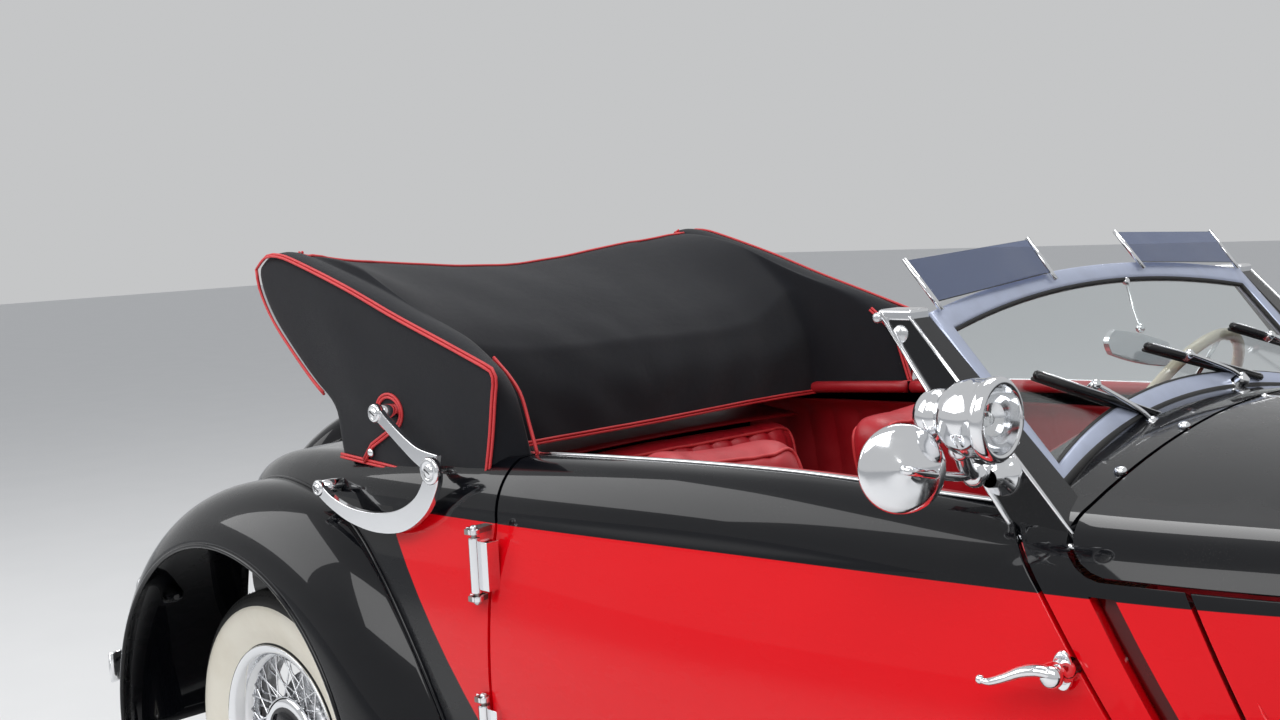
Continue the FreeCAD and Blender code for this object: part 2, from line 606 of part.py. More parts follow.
def make_bumper(tip, ends, rail_end, inward):
    """Curved blade across the car on two flat irons."""
    t = 14.0 * inward
    xt, xe, xr = ahead(tip), ahead(ends), ahead(rail_end)
    blade = plan_prism([(xe, -BUMPER_HALF), (xt, 0, 'via'), (xe, BUMPER_HALF),
                        (xe + t, BUMPER_HALF), (xt + t, 0, 'via'), (xe + t, -BUMPER_HALF)], BUMPER_Z0, BUMPER_Z1)
    x0, x1 = sorted((xr, xt + 2.2 * t))
    iron = box(x0, x1, RAIL_IN + 8, RAIL_OUT - 8, BUMPER_Z0 + 16, BUMPER_Z0 + 44)
    bumper = fused([blade, iron, flipped(iron)])
    middle = (BUMPER_Z0 + BUMPER_Z1) / 2
    for y in (-PLATE_HOLE_Y, PLATE_HOLE_Y):
        bumper = bumper.cut(rod((xt - 60, y, middle), (xt + 60, y, middle), PLATE_HOLE_R))
    return bumper


def make_tail_lamps():
    """Bullet lamps standing on the rear fenders' tails."""
    at = Vector(ahead(-566), 700, 640)
    bowl = rod((at.x - 34, at.y, at.z), (at.x + 16, at.y, at.z), 34).fuse(
        cone((at.x + 16, at.y, at.z), (at.x + 110, at.y, at.z), 34, 12))
    seated = bowl.removeSplitter().cut(make_fender(REAR_AXLE_X, REAR_FENDER, SEAT_GAP))
    return pair(max(seated.Solids, key=lambda piece: piece.Volume))


# Windscreen, in its own leaning plane: (across, up the slope)
SCREEN_FOOT = (1882.0, 1101.0)
SCREEN_HALF = 553.0
SCREEN_RAKE = 41.0
SCREEN_SLOPE = 322.0
SCREEN_FOOT_RISE = 84.0
SCREEN_TOP_RISE = 52.0
SCREEN_BAND = 34.0
SCREEN_T = 22.0
GLASS_T = 6.0


def screen_slab(inset, thickness):
    lean = math.radians(SCREEN_RAKE)

    def at(y, up):
        return (ahead(SCREEN_FOOT[0]) - up * math.sin(lean), y, SCREEN_FOOT[1] + up * math.cos(lean))
    half = SCREEN_HALF - inset
    low, high = inset, SCREEN_SLOPE - inset
    out = wire([at(-half, low), at(0, SCREEN_FOOT_RISE + inset) + ('via',), at(half, low),
                at(half, high), at(0, SCREEN_SLOPE + SCREEN_TOP_RISE - inset) + ('via',), at(-half, high)])
    normal = Vector(math.cos(lean), 0, math.sin(lean))
    slab = Part.Face(out).extrude(normal * thickness)
    slab.translate(normal * (-thickness / 2))
    return slab


def make_screen():
    frame = screen_slab(0, SCREEN_T).cut(screen_slab(SCREEN_BAND, SCREEN_T + 10)).cut(body_solid(-SEAT_GAP))
    glass = screen_slab(SCREEN_BAND + SEAT_GAP, GLASS_T)
    return frame, glass


# ahead of rear axle, height, outer face, length along the car
PILLAR_FOOT = (1918.0, 1046.0, 639.0, 92.0)
PILLAR_HEAD = (1652.0, 1352.0, 605.0, 44.0)
PILLAR_IN = SCREEN_HALF + SEAT_GAP


def make_pillar():
    """Right windscreen pillar, broad at the foot and narrow at the head."""
    def ring(x, z, outer, length):
        x0, x1 = ahead(x) - length / 2, ahead(x) + length / 2
        return wire([(x0, -outer, z), (x1, -outer, z), (x1, -PILLAR_IN, z), (x0, -PILLAR_IN, z)])
    post = Part.makeLoft([ring(*PILLAR_FOOT), ring(*PILLAR_HEAD)], True, True)
    post = post.cut(side_prism(lid_outline(SHUT_GAP), -1000, 1000))
    return post.cut(body_solid(-SHUT_GAP).common(behind_door(DOOR_GAP, -1000, -DOOR_TOP_IN + SHUT_GAP)))


VISOR_LEAN = 0.25


def frame_top(y):
    """Height of the windscreen frame's upper edge at this distance from the middle."""
    arc_r = (SCREEN_HALF ** 2 + SCREEN_TOP_RISE ** 2) / (2 * SCREEN_TOP_RISE)
    up = SCREEN_SLOPE + SCREEN_TOP_RISE - arc_r + math.sqrt(arc_r ** 2 - y ** 2)
    lean = math.radians(SCREEN_RAKE)
    return SCREEN_FOOT[1] + up * math.cos(lean) + SCREEN_T / 2 * math.sin(lean)


def make_visors():
    """Two tinted visor panes above the windscreen, each on two rods that stand on its frame."""
    def at(y, z):
        return (ahead(1655) - (z - 1356) * VISOR_LEAN, y, z)
    pane = prism([at(190, 1388), at(540, 1362), at(540, 1416), at(190, 1436)], (-4, 0, -4 * VISOR_LEAN))
    rods = [rod(at(y, frame_top(y) + SEAT_GAP), at(y, z1), 4) for y, z1 in ((192, 1438), (538, 1418))]
    return pair(fused([pane] + rods))


def make_spot_lamp():
    """Pillar lamp with a round mirror, both on one bracket."""
    lens = Vector(ahead(1930), -770, 1232)
    tail = Vector(ahead(1790), -770, 1232)
    back = dome(40, tail.x + 36, tail.x)
    bowl = turned_about_x(back[::-1] + [(50, lens.x - 48), (54, lens.x - 4)] + dome(48, lens.x - 4, lens.x + 4),
                          lens.y, lens.z)
    hub = (ahead(1835), -690, 1140)
    arm = rod(hub, (ahead(1862), -762, 1196), 11)
    root = rod(hub, (ahead(1835), -629.9, 1140), 12)
    mirror_c = Vector(ahead(1812), -776, 1160)
    mirror = rod((mirror_c.x, mirror_c.y, mirror_c.z), (mirror_c.x - 8, mirror_c.y, mirror_c.z), 58)
    stem = rod(hub, (mirror_c.x, mirror_c.y, mirror_c.z), 7)
    return fused([bowl, arm, ball(hub, 17), root, mirror, stem])


# Hood, seats and cockpit

HOOD_Y = 684.0
HOOD_INNER_Y = 600.0


def make_hood_cover():
    """Folded hood under its cover: a stack across the tail between two side boards that run forward as arms."""
    rear = [(296, 1052), (280, 1149), (140, 1258), (26, 1385)]
    board = rear + [(14, 1440), (60, 1472), (110, 1466), (347, 1399), (669, 1291), (806, 1245), (826, 1160), (800, 1090)]
    stack = rear + [(24, 1410), (110, 1432), (250, 1404), (400, 1340), (480, 1290), (536, 1205), (548, 1052)]
    side = side_prism([(ahead(x), z) for x, z in board], HOOD_INNER_Y, HOOD_Y)
    middle = side_prism([(ahead(x), z) for x, z in stack], -HOOD_INNER_Y, HOOD_INNER_Y)
    hood = fused([middle, side, flipped(side)])
    return hood.cut(body_solid(-SEAT_GAP)).removeSplitter()


def make_landau_iron():
    """Right landau iron: two curved arms meeting at a wide joint."""
    y0, y1 = -742.0, -728.0
    joint, upper, lower = (696.0, 1057.0), (507.0, 1154.0), (310.0, 988.0)
    up_arm = side_prism([(ahead(upper[0]) - 8, upper[1] + 14), (ahead(585), 1108, 'via'), (ahead(joint[0]), 1083),
                         (ahead(joint[0]), 1045), (ahead(575), 1086, 'via'), (ahead(upper[0]) + 4, upper[1] - 14)], y0, y1)
    low_arm = side_prism([(ahead(lower[0]), lower[1] + 12), (ahead(500), 960, 'via'), (ahead(joint[0] - 20), joint[1]),
                          (ahead(joint[0] + 14), joint[1] - 10), (ahead(510), 918, 'via'),
                          (ahead(lower[0]), lower[1] - 12)], y0 - 15, y0)
    studs = [rod((ahead(joint[0]), y0 - 20, joint[1]), (ahead(joint[0]), y1 + 4, joint[1]), 27),
             rod((ahead(upper[0]), y0 - 4, upper[1]), (ahead(upper[0]), -HOOD_Y - SEAT_GAP, upper[1]), 17),
             rod((ahead(lower[0]), y0 - 20, lower[1]), (ahead(lower[0]), -690, lower[1]), 17)]
    iron = fused([up_arm, low_arm] + studs)
    return iron.cut(body_solid(-SEAT_GAP))


def make_front_seats():
    """Two separate seats, each a base with its back."""
    base = side_prism([(ahead(1060), FLOOR_Z + FLOOR_T + SEAT_GAP), (ahead(1500), FLOOR_Z + FLOOR_T + SEAT_GAP),
                       (ahead(1560), 760), (ahead(1530), 800), (ahead(1060), 790)], 105, 565)
    back = side_prism([(ahead(1075), 640), (ahead(1175), 640), (ahead(1075), 1060), (ahead(1040), 1094, 'via'),
                       (ahead(1000), 1062)], 100, 558)
    return pair(fused([base, back]))


def make_rear_bench():
    floor = FLOOR_Z + FLOOR_T + SEAT_GAP
    base = side_prism([(ahead(505), floor), (ahead(860), floor), (ahead(885), 730), (ahead(505), 755)], -590, 590)
    back = side_prism([(ahead(470), floor), (ahead(560), floor), (ahead(520), 1010), (ahead(440), 1010)], -590, 590)
    return fused([base, back])


COLUMN_TOP = (1640.0, 350.0, 1035.0)
COLUMN_TILT = 30.0
COLUMN_R = 19.0
STEER_BOX_X = 2395.0
WHEEL_RIM_R = 215.0


def column_point(along):
    c, s = math.cos(math.radians(COLUMN_TILT)), math.sin(math.radians(COLUMN_TILT))
    return (ahead(COLUMN_TOP[0]) + along * c, COLUMN_TOP[1], COLUMN_TOP[2] - along * s)


def make_column():
    reach = (STEER_BOX_X - COLUMN_TOP[0]) / math.cos(math.radians(COLUMN_TILT))
    tube = rod(column_point(0), column_point(reach), COLUMN_R)
    tip = rod(column_point(-38), column_point(5), 10)
    gear = box(ahead(STEER_BOX_X) - 50, ahead(STEER_BOX_X) + 60, 326, 378, RAIL_TOP + SEAT_GAP, 650)
    return fused([tube, tip, gear])


def make_steering_wheel():
    c, s = math.cos(math.radians(COLUMN_TILT)), math.sin(math.radians(COLUMN_TILT))
    axis = Vector(-c, 0, s)
    centre = Vector(*column_point(-26))
    rim = Part.makeTorus(WHEEL_RIM_R, 11, centre, axis)
    hub = rod(column_point(-42), column_point(-SEAT_GAP), 30)
    up = Vector(s, 0, c)
    across = Vector(0, 1, 0)
    spokes = []
    for angle in (90, 210, 330):
        a = math.radians(angle)
        way = up * math.sin(a) + across * math.cos(a)
        spokes.append(Part.makeCylinder(6, WHEEL_RIM_R, centre, way))
    wheel = fused([rim, hub] + spokes)
    return wheel.cut(rod(column_point(-38 - SEAT_GAP), column_point(6), 10 + RUN_CLEAR))


def make_dashboard():
    board = body_solid(WALL + 3 * SEAT_GAP).common(box(ahead(1838), ahead(1866), -548, 548, 895, 1300))
    return board.cut(rod(column_point(100), column_point(700), COLUMN_R + SEAT_GAP))


SPARE_R, SPARE_T = 350.0, 120.0
SPARE_CENTRE = (-580.0, 710.0)
SPARE_LEAN = 20.0


def make_spare():
    """Spare wheel in its round cover, leaning on the tail on a short bracket."""
    disc = spun_about_y([(0, -SPARE_T / 2), (SPARE_R - 40, -SPARE_T / 2), (SPARE_R, 0, 'via'), (SPARE_R - 40, SPARE_T / 2),
                         (120, SPARE_T / 2 + 12), (0, SPARE_T / 2 + 12)], 0, 0, 0)
    disc = disc.fuse(rod((0, -SPARE_T / 2 - 140, 0), (0, -SPARE_T / 2 + 4, 0), 60))
    disc.rotate(Vector(0, 0, 0), Vector(0, 0, 1), 90)
    disc.rotate(Vector(0, 0, 0), Vector(0, 1, 0), SPARE_LEAN)
    disc.translate(Vector(ahead(SPARE_CENTRE[0]), 0, SPARE_CENTRE[1]))
    return disc.cut(body_solid(-SEAT_GAP)).removeSplitter()


def make_tank():
    tank = box(ahead(-505), ahead(-160), -RAIL_IN + SEAT_GAP, RAIL_IN - SEAT_GAP, 396, 517)
    return tank.makeFillet(28, [e for e in tank.Edges if abs(e.tangentAt(e.FirstParameter).x) < 0.1
                                and abs(e.tangentAt(e.FirstParameter).y) > 0.9])


def make_exhaust():
    """Pipe with silencer along the right side, under the rear axle to the tail."""
    route = [(2250, 505), (1960, 395), (1440, 388), (860, 388), (560, 290), (-330, 282), (-640, 330)]
    points = [(ahead(x), -255.0, z) for x, z in route]
    pieces = [rod(a, b, 21) for a, b in zip(points, points[1:])]
    pieces += [rod((p[0], p[1] - 21, p[2]), (p[0], p[1] + 21, p[2]), 21) for p in points[1:-1]]
    pieces.append(rod((ahead(900), -255, 388), (ahead(1400), -255, 388), 52))
    pieces.append(rod((points[0][0], -ENGINE[2] - SEAT_GAP, 505), (points[0][0], -262, 505), 26))
    hanger = CROSS_MEMBERS[2]
    pieces.append(rod((ahead(hanger[0]), -255, 390), (ahead(hanger[0]), -255, hanger[1] - SEAT_GAP), 8))
    return fused(pieces)


def make_engine():
    x0, x1, half, z0, z1 = ENGINE
    block = box(ahead(x0), ahead(x1), -half, half, z0, z1)
    gx0, gx1, ghalf, gz0, gz1 = GEARBOX
    return fused([block, box(ahead(gx0), ahead(gx1), -ghalf, ghalf, gz0, gz1)])


# Door hardware: barrels on an upright axis outside the body, and a lever handle
HINGE_X, HINGE_Y = 837.0, 772.0
HINGE_PIN_R = 5.0
BARREL_R = 11.0
BARRELS = [(848.0, 950.0), (536.0, 638.0)]
HANDLE = (1975.0, 898.0)


def make_hinge_pins():
    """Fixed halves of the right-hand door's hinges: pin, two ears and a leaf on the quarter."""
    pieces = []
    for z0, z1 in BARRELS:
        x, y = ahead(HINGE_X), -HINGE_Y
        pin = rod((x, y, z0 - 16), (x, y, z1 + 16), HINGE_PIN_R)
        ears = [plan_prism([(x + 4, y - 11), (x + 4, y + 11), (x - 8, y + 80), (x - 26, y + 80), (x - 14, y - 11)],
                           z, z + 10) for z in (z0 - 16, z1 + 6)]
        pieces.append(fused([pin] + ears))
    grown = body_solid(-SEAT_GAP)
    return Part.makeCompound([p.cut(grown) for p in pieces])


def make_door_fittings():
    """Moving barrels of the right-hand door's hinges, and its lever handle."""
    grown = body_solid(-SEAT_GAP)
    pieces = []
    for z0, z1 in BARRELS:
        x, y = ahead(HINGE_X), -HINGE_Y
        barrel = rod((x, y, z0), (x, y, z1), BARREL_R)
        leaf = plan_prism([(x - 2, y - 8), (x + 34, y + 20), (x + 34, y + 80), (x + 16, y + 80), (x + 10, y + 6)], z0 + 6, z1 - 6)
        barrel = fused([barrel, leaf]).cut(rod((x, y, z0 - 1), (x, y, z1 + 1), HINGE_PIN_R + RUN_CLEAR))
        pieces.append(barrel.cut(grown))
    hx, hz = ahead(HANDLE[0]), HANDLE[1]
    boss = rod((hx, -660, hz), (hx, -736, hz), 15)
    lever = cone((hx, -738, hz), (hx - 112, -742, hz - 14), 11, 6)
    pieces.append(fused([boss, ball((hx, -738, hz), 14), lever]).cut(grown))
    return Part.makeCompound(pieces)


def main():
    os.makedirs("parts", exist_ok=True)
    parts = {}
    shell, door, scuttle, lid, bonnet_side = make_body_panels()
    pillar = make_pillar()
    screen_frame, glass = make_screen()
    scuttle = fused([scuttle, pillar, flipped(pillar), crest_rod(CREST_ROD_R)])
    scuttle = scuttle.cut(rod(column_point(200), column_point(600), COLUMN_R + SEAT_GAP))
    parts["body_shell"] = shell
    parts["scuttle"] = scuttle
    parts["door_right"], parts["door_left"] = door, flipped(door)
    parts["bonnet_lid_right"], parts["bonnet_lid_left"] = lid, flipped(lid)
    parts["bonnet_sides"] = pair(bonnet_side)
    parts["floor"] = make_floor()
    parts["frame"] = make_frame()
    parts["front_axle"] = make_front_axle()
    parts["rear_axle"] = make_rear_axle()
    parts["springs"] = make_springs()
    knuckle = make_knuckle()
    parts["knuckle_left"], parts["knuckle_right"] = knuckle, flipped(knuckle)
    parts["tie_rod"] = make_tie_rod()
    for end, x in (("front", FRONT_AXLE_X), ("rear", REAR_AXLE_X)):
        for name, side in (("left", 1), ("right", -1)):
            parts["wheel_%s_%s" % (end, name)] = make_wheel(x, side)
            parts["tyre_%s_%s" % (end, name)] = make_tyre(x, side)
    front_fender, rear_fender = make_fenders()
    parts["fenders_front"], parts["fenders_rear"] = pair(front_fender), pair(rear_fender)
    parts["running_boards"] = make_running_boards()
    parts["radiator_shell"] = make_radiator()
    parts["grille"] = make_grille()
    parts["headlamps"] = make_headlamps()
    parts["tail_lamps"] = make_tail_lamps()
    parts["bumper_front"] = make_bumper(FRONT_END, 3650.0, RAIL_FRONT + SEAT_GAP, -1)
    parts["bumper_rear"] = make_bumper(-REAR_OVERHANG, -690.0, RAIL_REAR - SEAT_GAP, 1)
    parts["windscreen_frame"], parts["windscreen_glass"] = screen_frame, glass
    parts["sun_visors"] = make_visors()
    parts["spot_lamp"] = make_spot_lamp()
    parts["hood_cover"] = make_hood_cover()
    parts["landau_irons"] = pair(make_landau_iron())
    parts["front_seats"] = make_front_seats()
    parts["rear_bench"] = make_rear_bench()
    parts["steering_column"] = make_column()
    parts["steering_wheel"] = make_steering_wheel()
    parts["dashboard"] = make_dashboard()
    parts["spare_wheel"] = make_spare()
    parts["fuel_tank"] = make_tank()
    parts["exhaust"] = make_exhaust()
    parts["engine_block"] = make_engine()
    pins = make_hinge_pins()
    parts["hinge_pins"] = Part.makeCompound([pins, flipped(pins)])
    fittings = make_door_fittings()
    parts["door_fittings_right"], parts["door_fittings_left"] = fittings, flipped(fittings)
    for node, shape in parts.items():
        shape.exportStep("parts/" + node + ".step")
        if not shape.isValid():
            print("not valid:", node)
        print(node, len(shape.Solids), round(shape.Volume / 1e6, 3))


main()
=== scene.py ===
import math

import bmesh
import bpy
from mathutils import Matrix, Vector


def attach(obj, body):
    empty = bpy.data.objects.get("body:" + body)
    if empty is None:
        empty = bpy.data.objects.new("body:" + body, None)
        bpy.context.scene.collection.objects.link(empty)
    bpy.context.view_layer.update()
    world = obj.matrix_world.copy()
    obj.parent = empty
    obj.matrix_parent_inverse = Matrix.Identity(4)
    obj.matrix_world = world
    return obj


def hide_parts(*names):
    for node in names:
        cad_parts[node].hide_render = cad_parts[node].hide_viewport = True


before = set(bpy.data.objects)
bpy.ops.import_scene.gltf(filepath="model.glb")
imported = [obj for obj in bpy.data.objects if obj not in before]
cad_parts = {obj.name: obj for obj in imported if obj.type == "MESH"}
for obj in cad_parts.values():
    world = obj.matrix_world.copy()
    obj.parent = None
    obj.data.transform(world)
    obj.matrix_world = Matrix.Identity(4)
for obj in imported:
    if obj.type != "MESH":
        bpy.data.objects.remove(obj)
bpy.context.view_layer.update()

# A two-door drophead of the middle 1930s. Metres, +X forward, +Y to the car's left, +Z up.
# Places along the car are given as distances ahead of the rear axle, as the CAD source gives them.
AXLE_X = -1.5
WHEELBASE = 3050.0
TYRE_R = 356.0
WHEEL_Y = 645.0
SIDES = ((-1, "right"), (1, "left"))


def ahead(d):
    return AXLE_X + d


def mm(x, y, z):
    """A place from millimetres: ahead of the rear axle, to the car's left, above the road."""
    return Vector((ahead(x / 1000), y / 1000, z / 1000))


def linked(name, data):
    """A new object of the scene."""
    made = bpy.data.objects.new(name, data)
    bpy.context.scene.collection.objects.link(made)
    return made


# Camera, at the photograph's viewing angle
CAMERA_AT = (1.423, -2.4116, 1.5105)
CAMERA_YAW, CAMERA_PITCH, CAMERA_ROLL = 0.7853, 0.0956, -0.0492
CAMERA_LENS = 41.554


def aim_camera():
    level = math.cos(CAMERA_PITCH)
    look = Vector((-math.sin(CAMERA_YAW) * level, math.cos(CAMERA_YAW) * level, -math.sin(CAMERA_PITCH)))
    right = look.cross(Vector((0, 0, 1))).normalized()
    up = right.cross(look)
    c, s = math.cos(CAMERA_ROLL), math.sin(CAMERA_ROLL)
    turn = Matrix((right * c + up * s, up * c - right * s, -look)).transposed().to_4x4()
    data = bpy.data.cameras.new("view")
    data.sensor_width, data.lens, data.clip_end = 36.0, CAMERA_LENS, 200.0
    camera = linked("view", data)
    camera.matrix_world = Matrix.Translation(CAMERA_AT) @ turn
    bpy.context.scene.camera = camera


aim_camera()


# Finishes

class Finish:
    """A material under construction, with short ways to add and link its nodes."""

    def __init__(self, name, color, rough, metal=0.0, **shader):
        self.material = bpy.data.materials.new(name)
        self.material.use_nodes = True
        self.tree = self.material.node_tree
        self.shader = self.tree.nodes["Principled BSDF"]
        self.set("Base Color", (*color, 1.0))
        self.set("Roughness", rough)
        self.set("Metallic", metal)
        for key, value in shader.items():
            self.set(key.replace("_", " "), value)
        self.place = self.node("ShaderNodeTexCoord").outputs["Object"]

    def put(self, socket, value):
        """Links a socket to a node or to another socket, or sets its own value."""
        if isinstance(value, bpy.types.Node):
            value = value.outputs[0]
        if isinstance(value, bpy.types.NodeSocket):
            self.tree.links.new(value, socket)
        else:
            socket.default_value = value

    def feed(self, made, key, value):
        self.put(made.inputs[key], value)

    def set(self, key, value):
        self.feed(self.shader, key, value)

    def node(self, kind, settings=None, **inputs):
        made = self.tree.nodes.new(kind)
        for key, value in (settings or {}).items():
            setattr(made, key, value)
        for key, value in inputs.items():
            self.feed(made, key.replace("_", " "), value)
        return made

    def group(self, tree, **inputs):
        return self.node("ShaderNodeGroup", {"node_tree": tree}, **inputs)

    def noise(self, scale, detail=3.0, rough=0.5, vector=None):
        return self.node("ShaderNodeTexNoise", None, Vector=vector or self.place, Scale=scale, Detail=detail,
                         Roughness=rough)

    def ramp(self, value, low, high, out_low=0.0, out_high=1.0):
        made = self.node("ShaderNodeMapRange", None, Value=value)
        for socket, number in zip(list(made.inputs)[1:5], (low, high, out_low, out_high)):
            socket.default_value = number
        return made.outputs[0]

    def math(self, operation, *values):
        made = self.node("ShaderNodeMath", {"operation": operation})
        for socket, value in zip(made.inputs, values):
            self.put(socket, value)
        return made.outputs[0]

    def mix(self, mask, a, b):
        """One colour over another by a mask."""
        made = self.node("ShaderNodeMix", {"data_type": "RGBA"})
        for index, value in ((0, mask), (6, a), (7, b)):
            self.put(made.inputs[index], (*value, 1.0) if isinstance(value, tuple) else value)
        return made.outputs[2]

    def bump(self, height, strength, distance=0.001, normal=None):
        made = self.node("ShaderNodeBump", None, Height=height, Strength=strength, Distance=distance)
        if normal is not None:
            self.feed(made, "Normal", normal)
        self.set("Normal", made)


# Shape helpers

def piece_from(name, bm):
    mesh = bpy.data.meshes.new(name)
    bm.to_mesh(mesh)
    bm.free()
    return linked(name, mesh)


def finished(name, bm, body, finish, replaces=(), slot=None, smooth=True, outward=True):
    """Turns a bmesh into a piece that rides on its CAD body."""
    bmesh.ops.remove_doubles(bm, verts=bm.verts, dist=1e-5)
    if outward:
        bmesh.ops.recalc_face_normals(bm, faces=bm.faces)
    for face in bm.faces:
        face.smooth = smooth
    piece = piece_from(name, bm)
    for one in finish if isinstance(finish, (list, tuple)) else [finish]:
        piece.data.materials.append(one)
    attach(piece, body)
    if replaces:
        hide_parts(*replaces)
    return piece


def bright(name, bm, body="car", **more):
    """A plated piece of trim."""
    return finished(name, bm, body, chrome, slot="chrome", **more)


def soften(piece, width=0.002, segments=2, angle=35.0):
    """Rounds a piece's hard edges."""
    made = piece.modifiers.new("edges", "BEVEL")
    made.width = width
    made.segments = segments
    made.limit_method = "ANGLE"
    made.angle_limit = math.radians(angle)
    made.harden_normals = True
    return piece


def thicken(piece, depth, offset=-1.0):
    made = piece.modifiers.new("depth", "SOLIDIFY")
    made.thickness = depth
    made.offset = offset
    made.use_even_offset = False
    return piece


def rounded(piece, levels=1):
    made = piece.modifiers.new("round", "SUBSURF")
    made.levels = levels
    made.render_levels = levels
    return piece


def sheet_grid(across, along, place):
    """A grid of faces whose corners are moved to place(u, v), with u and v from 0 to 1."""
    bm = bmesh.new()
    bmesh.ops.create_grid(bm, x_segments=across, y_segments=along, size=0.5, calc_uvs=True)
    for vert in bm.verts:
        vert.co = place(min(max(vert.co.x + 0.5, 0.0), 1.0), min(max(vert.co.y + 0.5, 0.0), 1.0))
    return bm


def carve(bm, planes, keep_inside):
    """Splits the mesh along planes (point, outward normal), then keeps what is inside all of them, or outside."""
    for point, normal in planes:
        bmesh.ops.bisect_plane(bm, geom=bm.verts[:] + bm.edges[:] + bm.faces[:], dist=1e-6, plane_co=point,
                               plane_no=normal)
    gone = []
    for face in bm.faces:
        middle = face.calc_center_median()
        inside = all((middle - Vector(point)).dot(Vector(normal)) < 0 for point, normal in planes)
        if inside != keep_inside:
            gone.append(face)
    bmesh.ops.delete(bm, geom=gone, context="FACES")


def other_side(bm):
    """Adds the mirror image of a mesh on the other side of the car."""
    copy = bmesh.ops.duplicate(bm, geom=bm.verts[:] + bm.edges[:] + bm.faces[:])["geom"]
    corners = [g for g in copy if isinstance(g, bmesh.types.BMVert)]
    bmesh.ops.scale(bm, vec=(1, -1, 1), verts=corners)
    bmesh.ops.reverse_faces(bm, faces=[g for g in copy if isinstance(g, bmesh.types.BMFace)])


def flip(bm):
    bmesh.ops.scale(bm, vec=(1, -1, 1), verts=bm.verts)
    bmesh.ops.reverse_faces(bm, faces=bm.faces)


def turn_to(way):
    """The turn that points +Z along a direction."""
    return Vector((0, 0, 1)).rotation_difference(Vector(way)).to_matrix().to_4x4()


def lathe(profile, at, way, steps=48, bm=None):
    """A turned form from (radius, height) points, its foot at a place and its axis along way."""
    bm = bm or bmesh.new()
    ring = [bm.verts.new((r, 0, h)) for r, h in profile]
    edges = [bm.edges.new(pair) for pair in zip(ring, ring[1:])]
    spun = bmesh.ops.spin(bm, geom=ring + edges, cent=(0, 0, 0), axis=(0, 0, 1), angle=2 * math.pi, steps=steps,
                          use_merge=True)
    made = set(ring) | {g for g in spun["geom_last"] if isinstance(g, bmesh.types.BMVert)}
    stack = list(made)
    while stack:
        for edge in stack.pop().link_edges:
            for vert in edge.verts:
                if vert not in made:
                    made.add(vert)
                    stack.append(vert)
    bmesh.ops.transform(bm, matrix=Matrix.Translation(at) @ turn_to(way), verts=list(made))
    bmesh.ops.remove_doubles(bm, verts=[v for v in made if v.is_valid], dist=1e-6)
    return bm


def bar(bm, start, end, radius, end_radius=None, sides=12, caps=True):
    """A round bar between two points, tapering where it has an end radius."""
    start, end = Vector(start), Vector(end)
    way = end - start
    made = bmesh.ops.create_cone(bm, cap_ends=caps, segments=sides, radius1=radius,
                                 radius2=radius if end_radius is None else end_radius, depth=way.length)
    bmesh.ops.transform(bm, matrix=Matrix.Translation((start + end) / 2) @ turn_to(way), verts=made["verts"])
    return made["verts"]


def knob(bm, at, radius, rings=12):
    made = bmesh.ops.create_uvsphere(bm, u_segments=2 * rings, v_segments=rings, radius=radius)
    bmesh.ops.translate(bm, vec=at, verts=made["verts"])
    return made["verts"]


def blanks(count):
    return [bmesh.new() for _ in range(count)]


def block(bm, low, high):
    low, high = Vector(low), Vector(high)
    made = bmesh.ops.create_cube(bm, size=1.0)
    bmesh.ops.scale(bm, vec=high - low, verts=made["verts"])
    bmesh.ops.translate(bm, vec=(low + high) / 2, verts=made["verts"])
    return made["verts"]


def slab(bm, along, across, upright):
    """A block from its three ranges in mm; the one across the car may be given either way round."""
    (x0, x1), (y0, y1), (z0, z1) = along, sorted(across), upright
    return block(bm, mm(x0, y0, z0), mm(x1, y1, z1))


def tube(bm, path, radius, sides=8, closed=False, flat=None):
    """A tube along a path. radius is a number or one for each point; flat is the share of height across."""
    points = [Vector(p) for p in path]
    count = len(points)
    rings = []
    side = None
    for i, point in enumerate(points):
        before = points[i - 1] if i or closed else point
        after = points[(i + 1) % count] if i < count - 1 or closed else point
        way = (after - before).normalized()
        if side is None:
            side = way.cross(Vector((0, 0, 1)))
            if side.length < 0.1:
                side = way.cross(Vector((0, 1, 0)))
        side = (side - way * side.dot(way)).normalized()
        up = way.cross(side)
        r = radius[i] if isinstance(radius, (list, tuple)) else radius
        ring = []
        for k in range(sides):
            a = 2 * math.pi * k / sides
            ring.append(bm.verts.new(point + side * (r * math.cos(a)) + up * (r * (flat or 1.0) * math.sin(a))))
        rings.append([bm.edges.new((ring[k], ring[(k + 1) % sides])) for k in range(sides)])
        if not closed and i in (0, count - 1):
            bm.faces.new(ring)
    for a, b in zip(rings, rings[1:] + (rings[:1] if closed else [])):
        bmesh.ops.bridge_loops(bm, edges=a + b)


def curve_through(points, steps):
    """Evenly timed points on a smooth line through the given ones."""
    points = [Vector(p) for p in points]
    line = []
    for i in range(len(points) - 1):
        p0 = points[max(i - 1, 0)]
        p1, p2 = points[i], points[i + 1]
        p3 = points[min(i + 2, len(points) - 1)]
        for k in range(steps):
            t = k / steps
            line.append(0.5 * (2 * p1 + (p2 - p0) * t + (2 * p0 - 5 * p1 + 4 * p2 - p3) * t * t
                               + (3 * p1 - p0 - 3 * p2 + p3) * t ** 3))
    return line + [points[-1]]


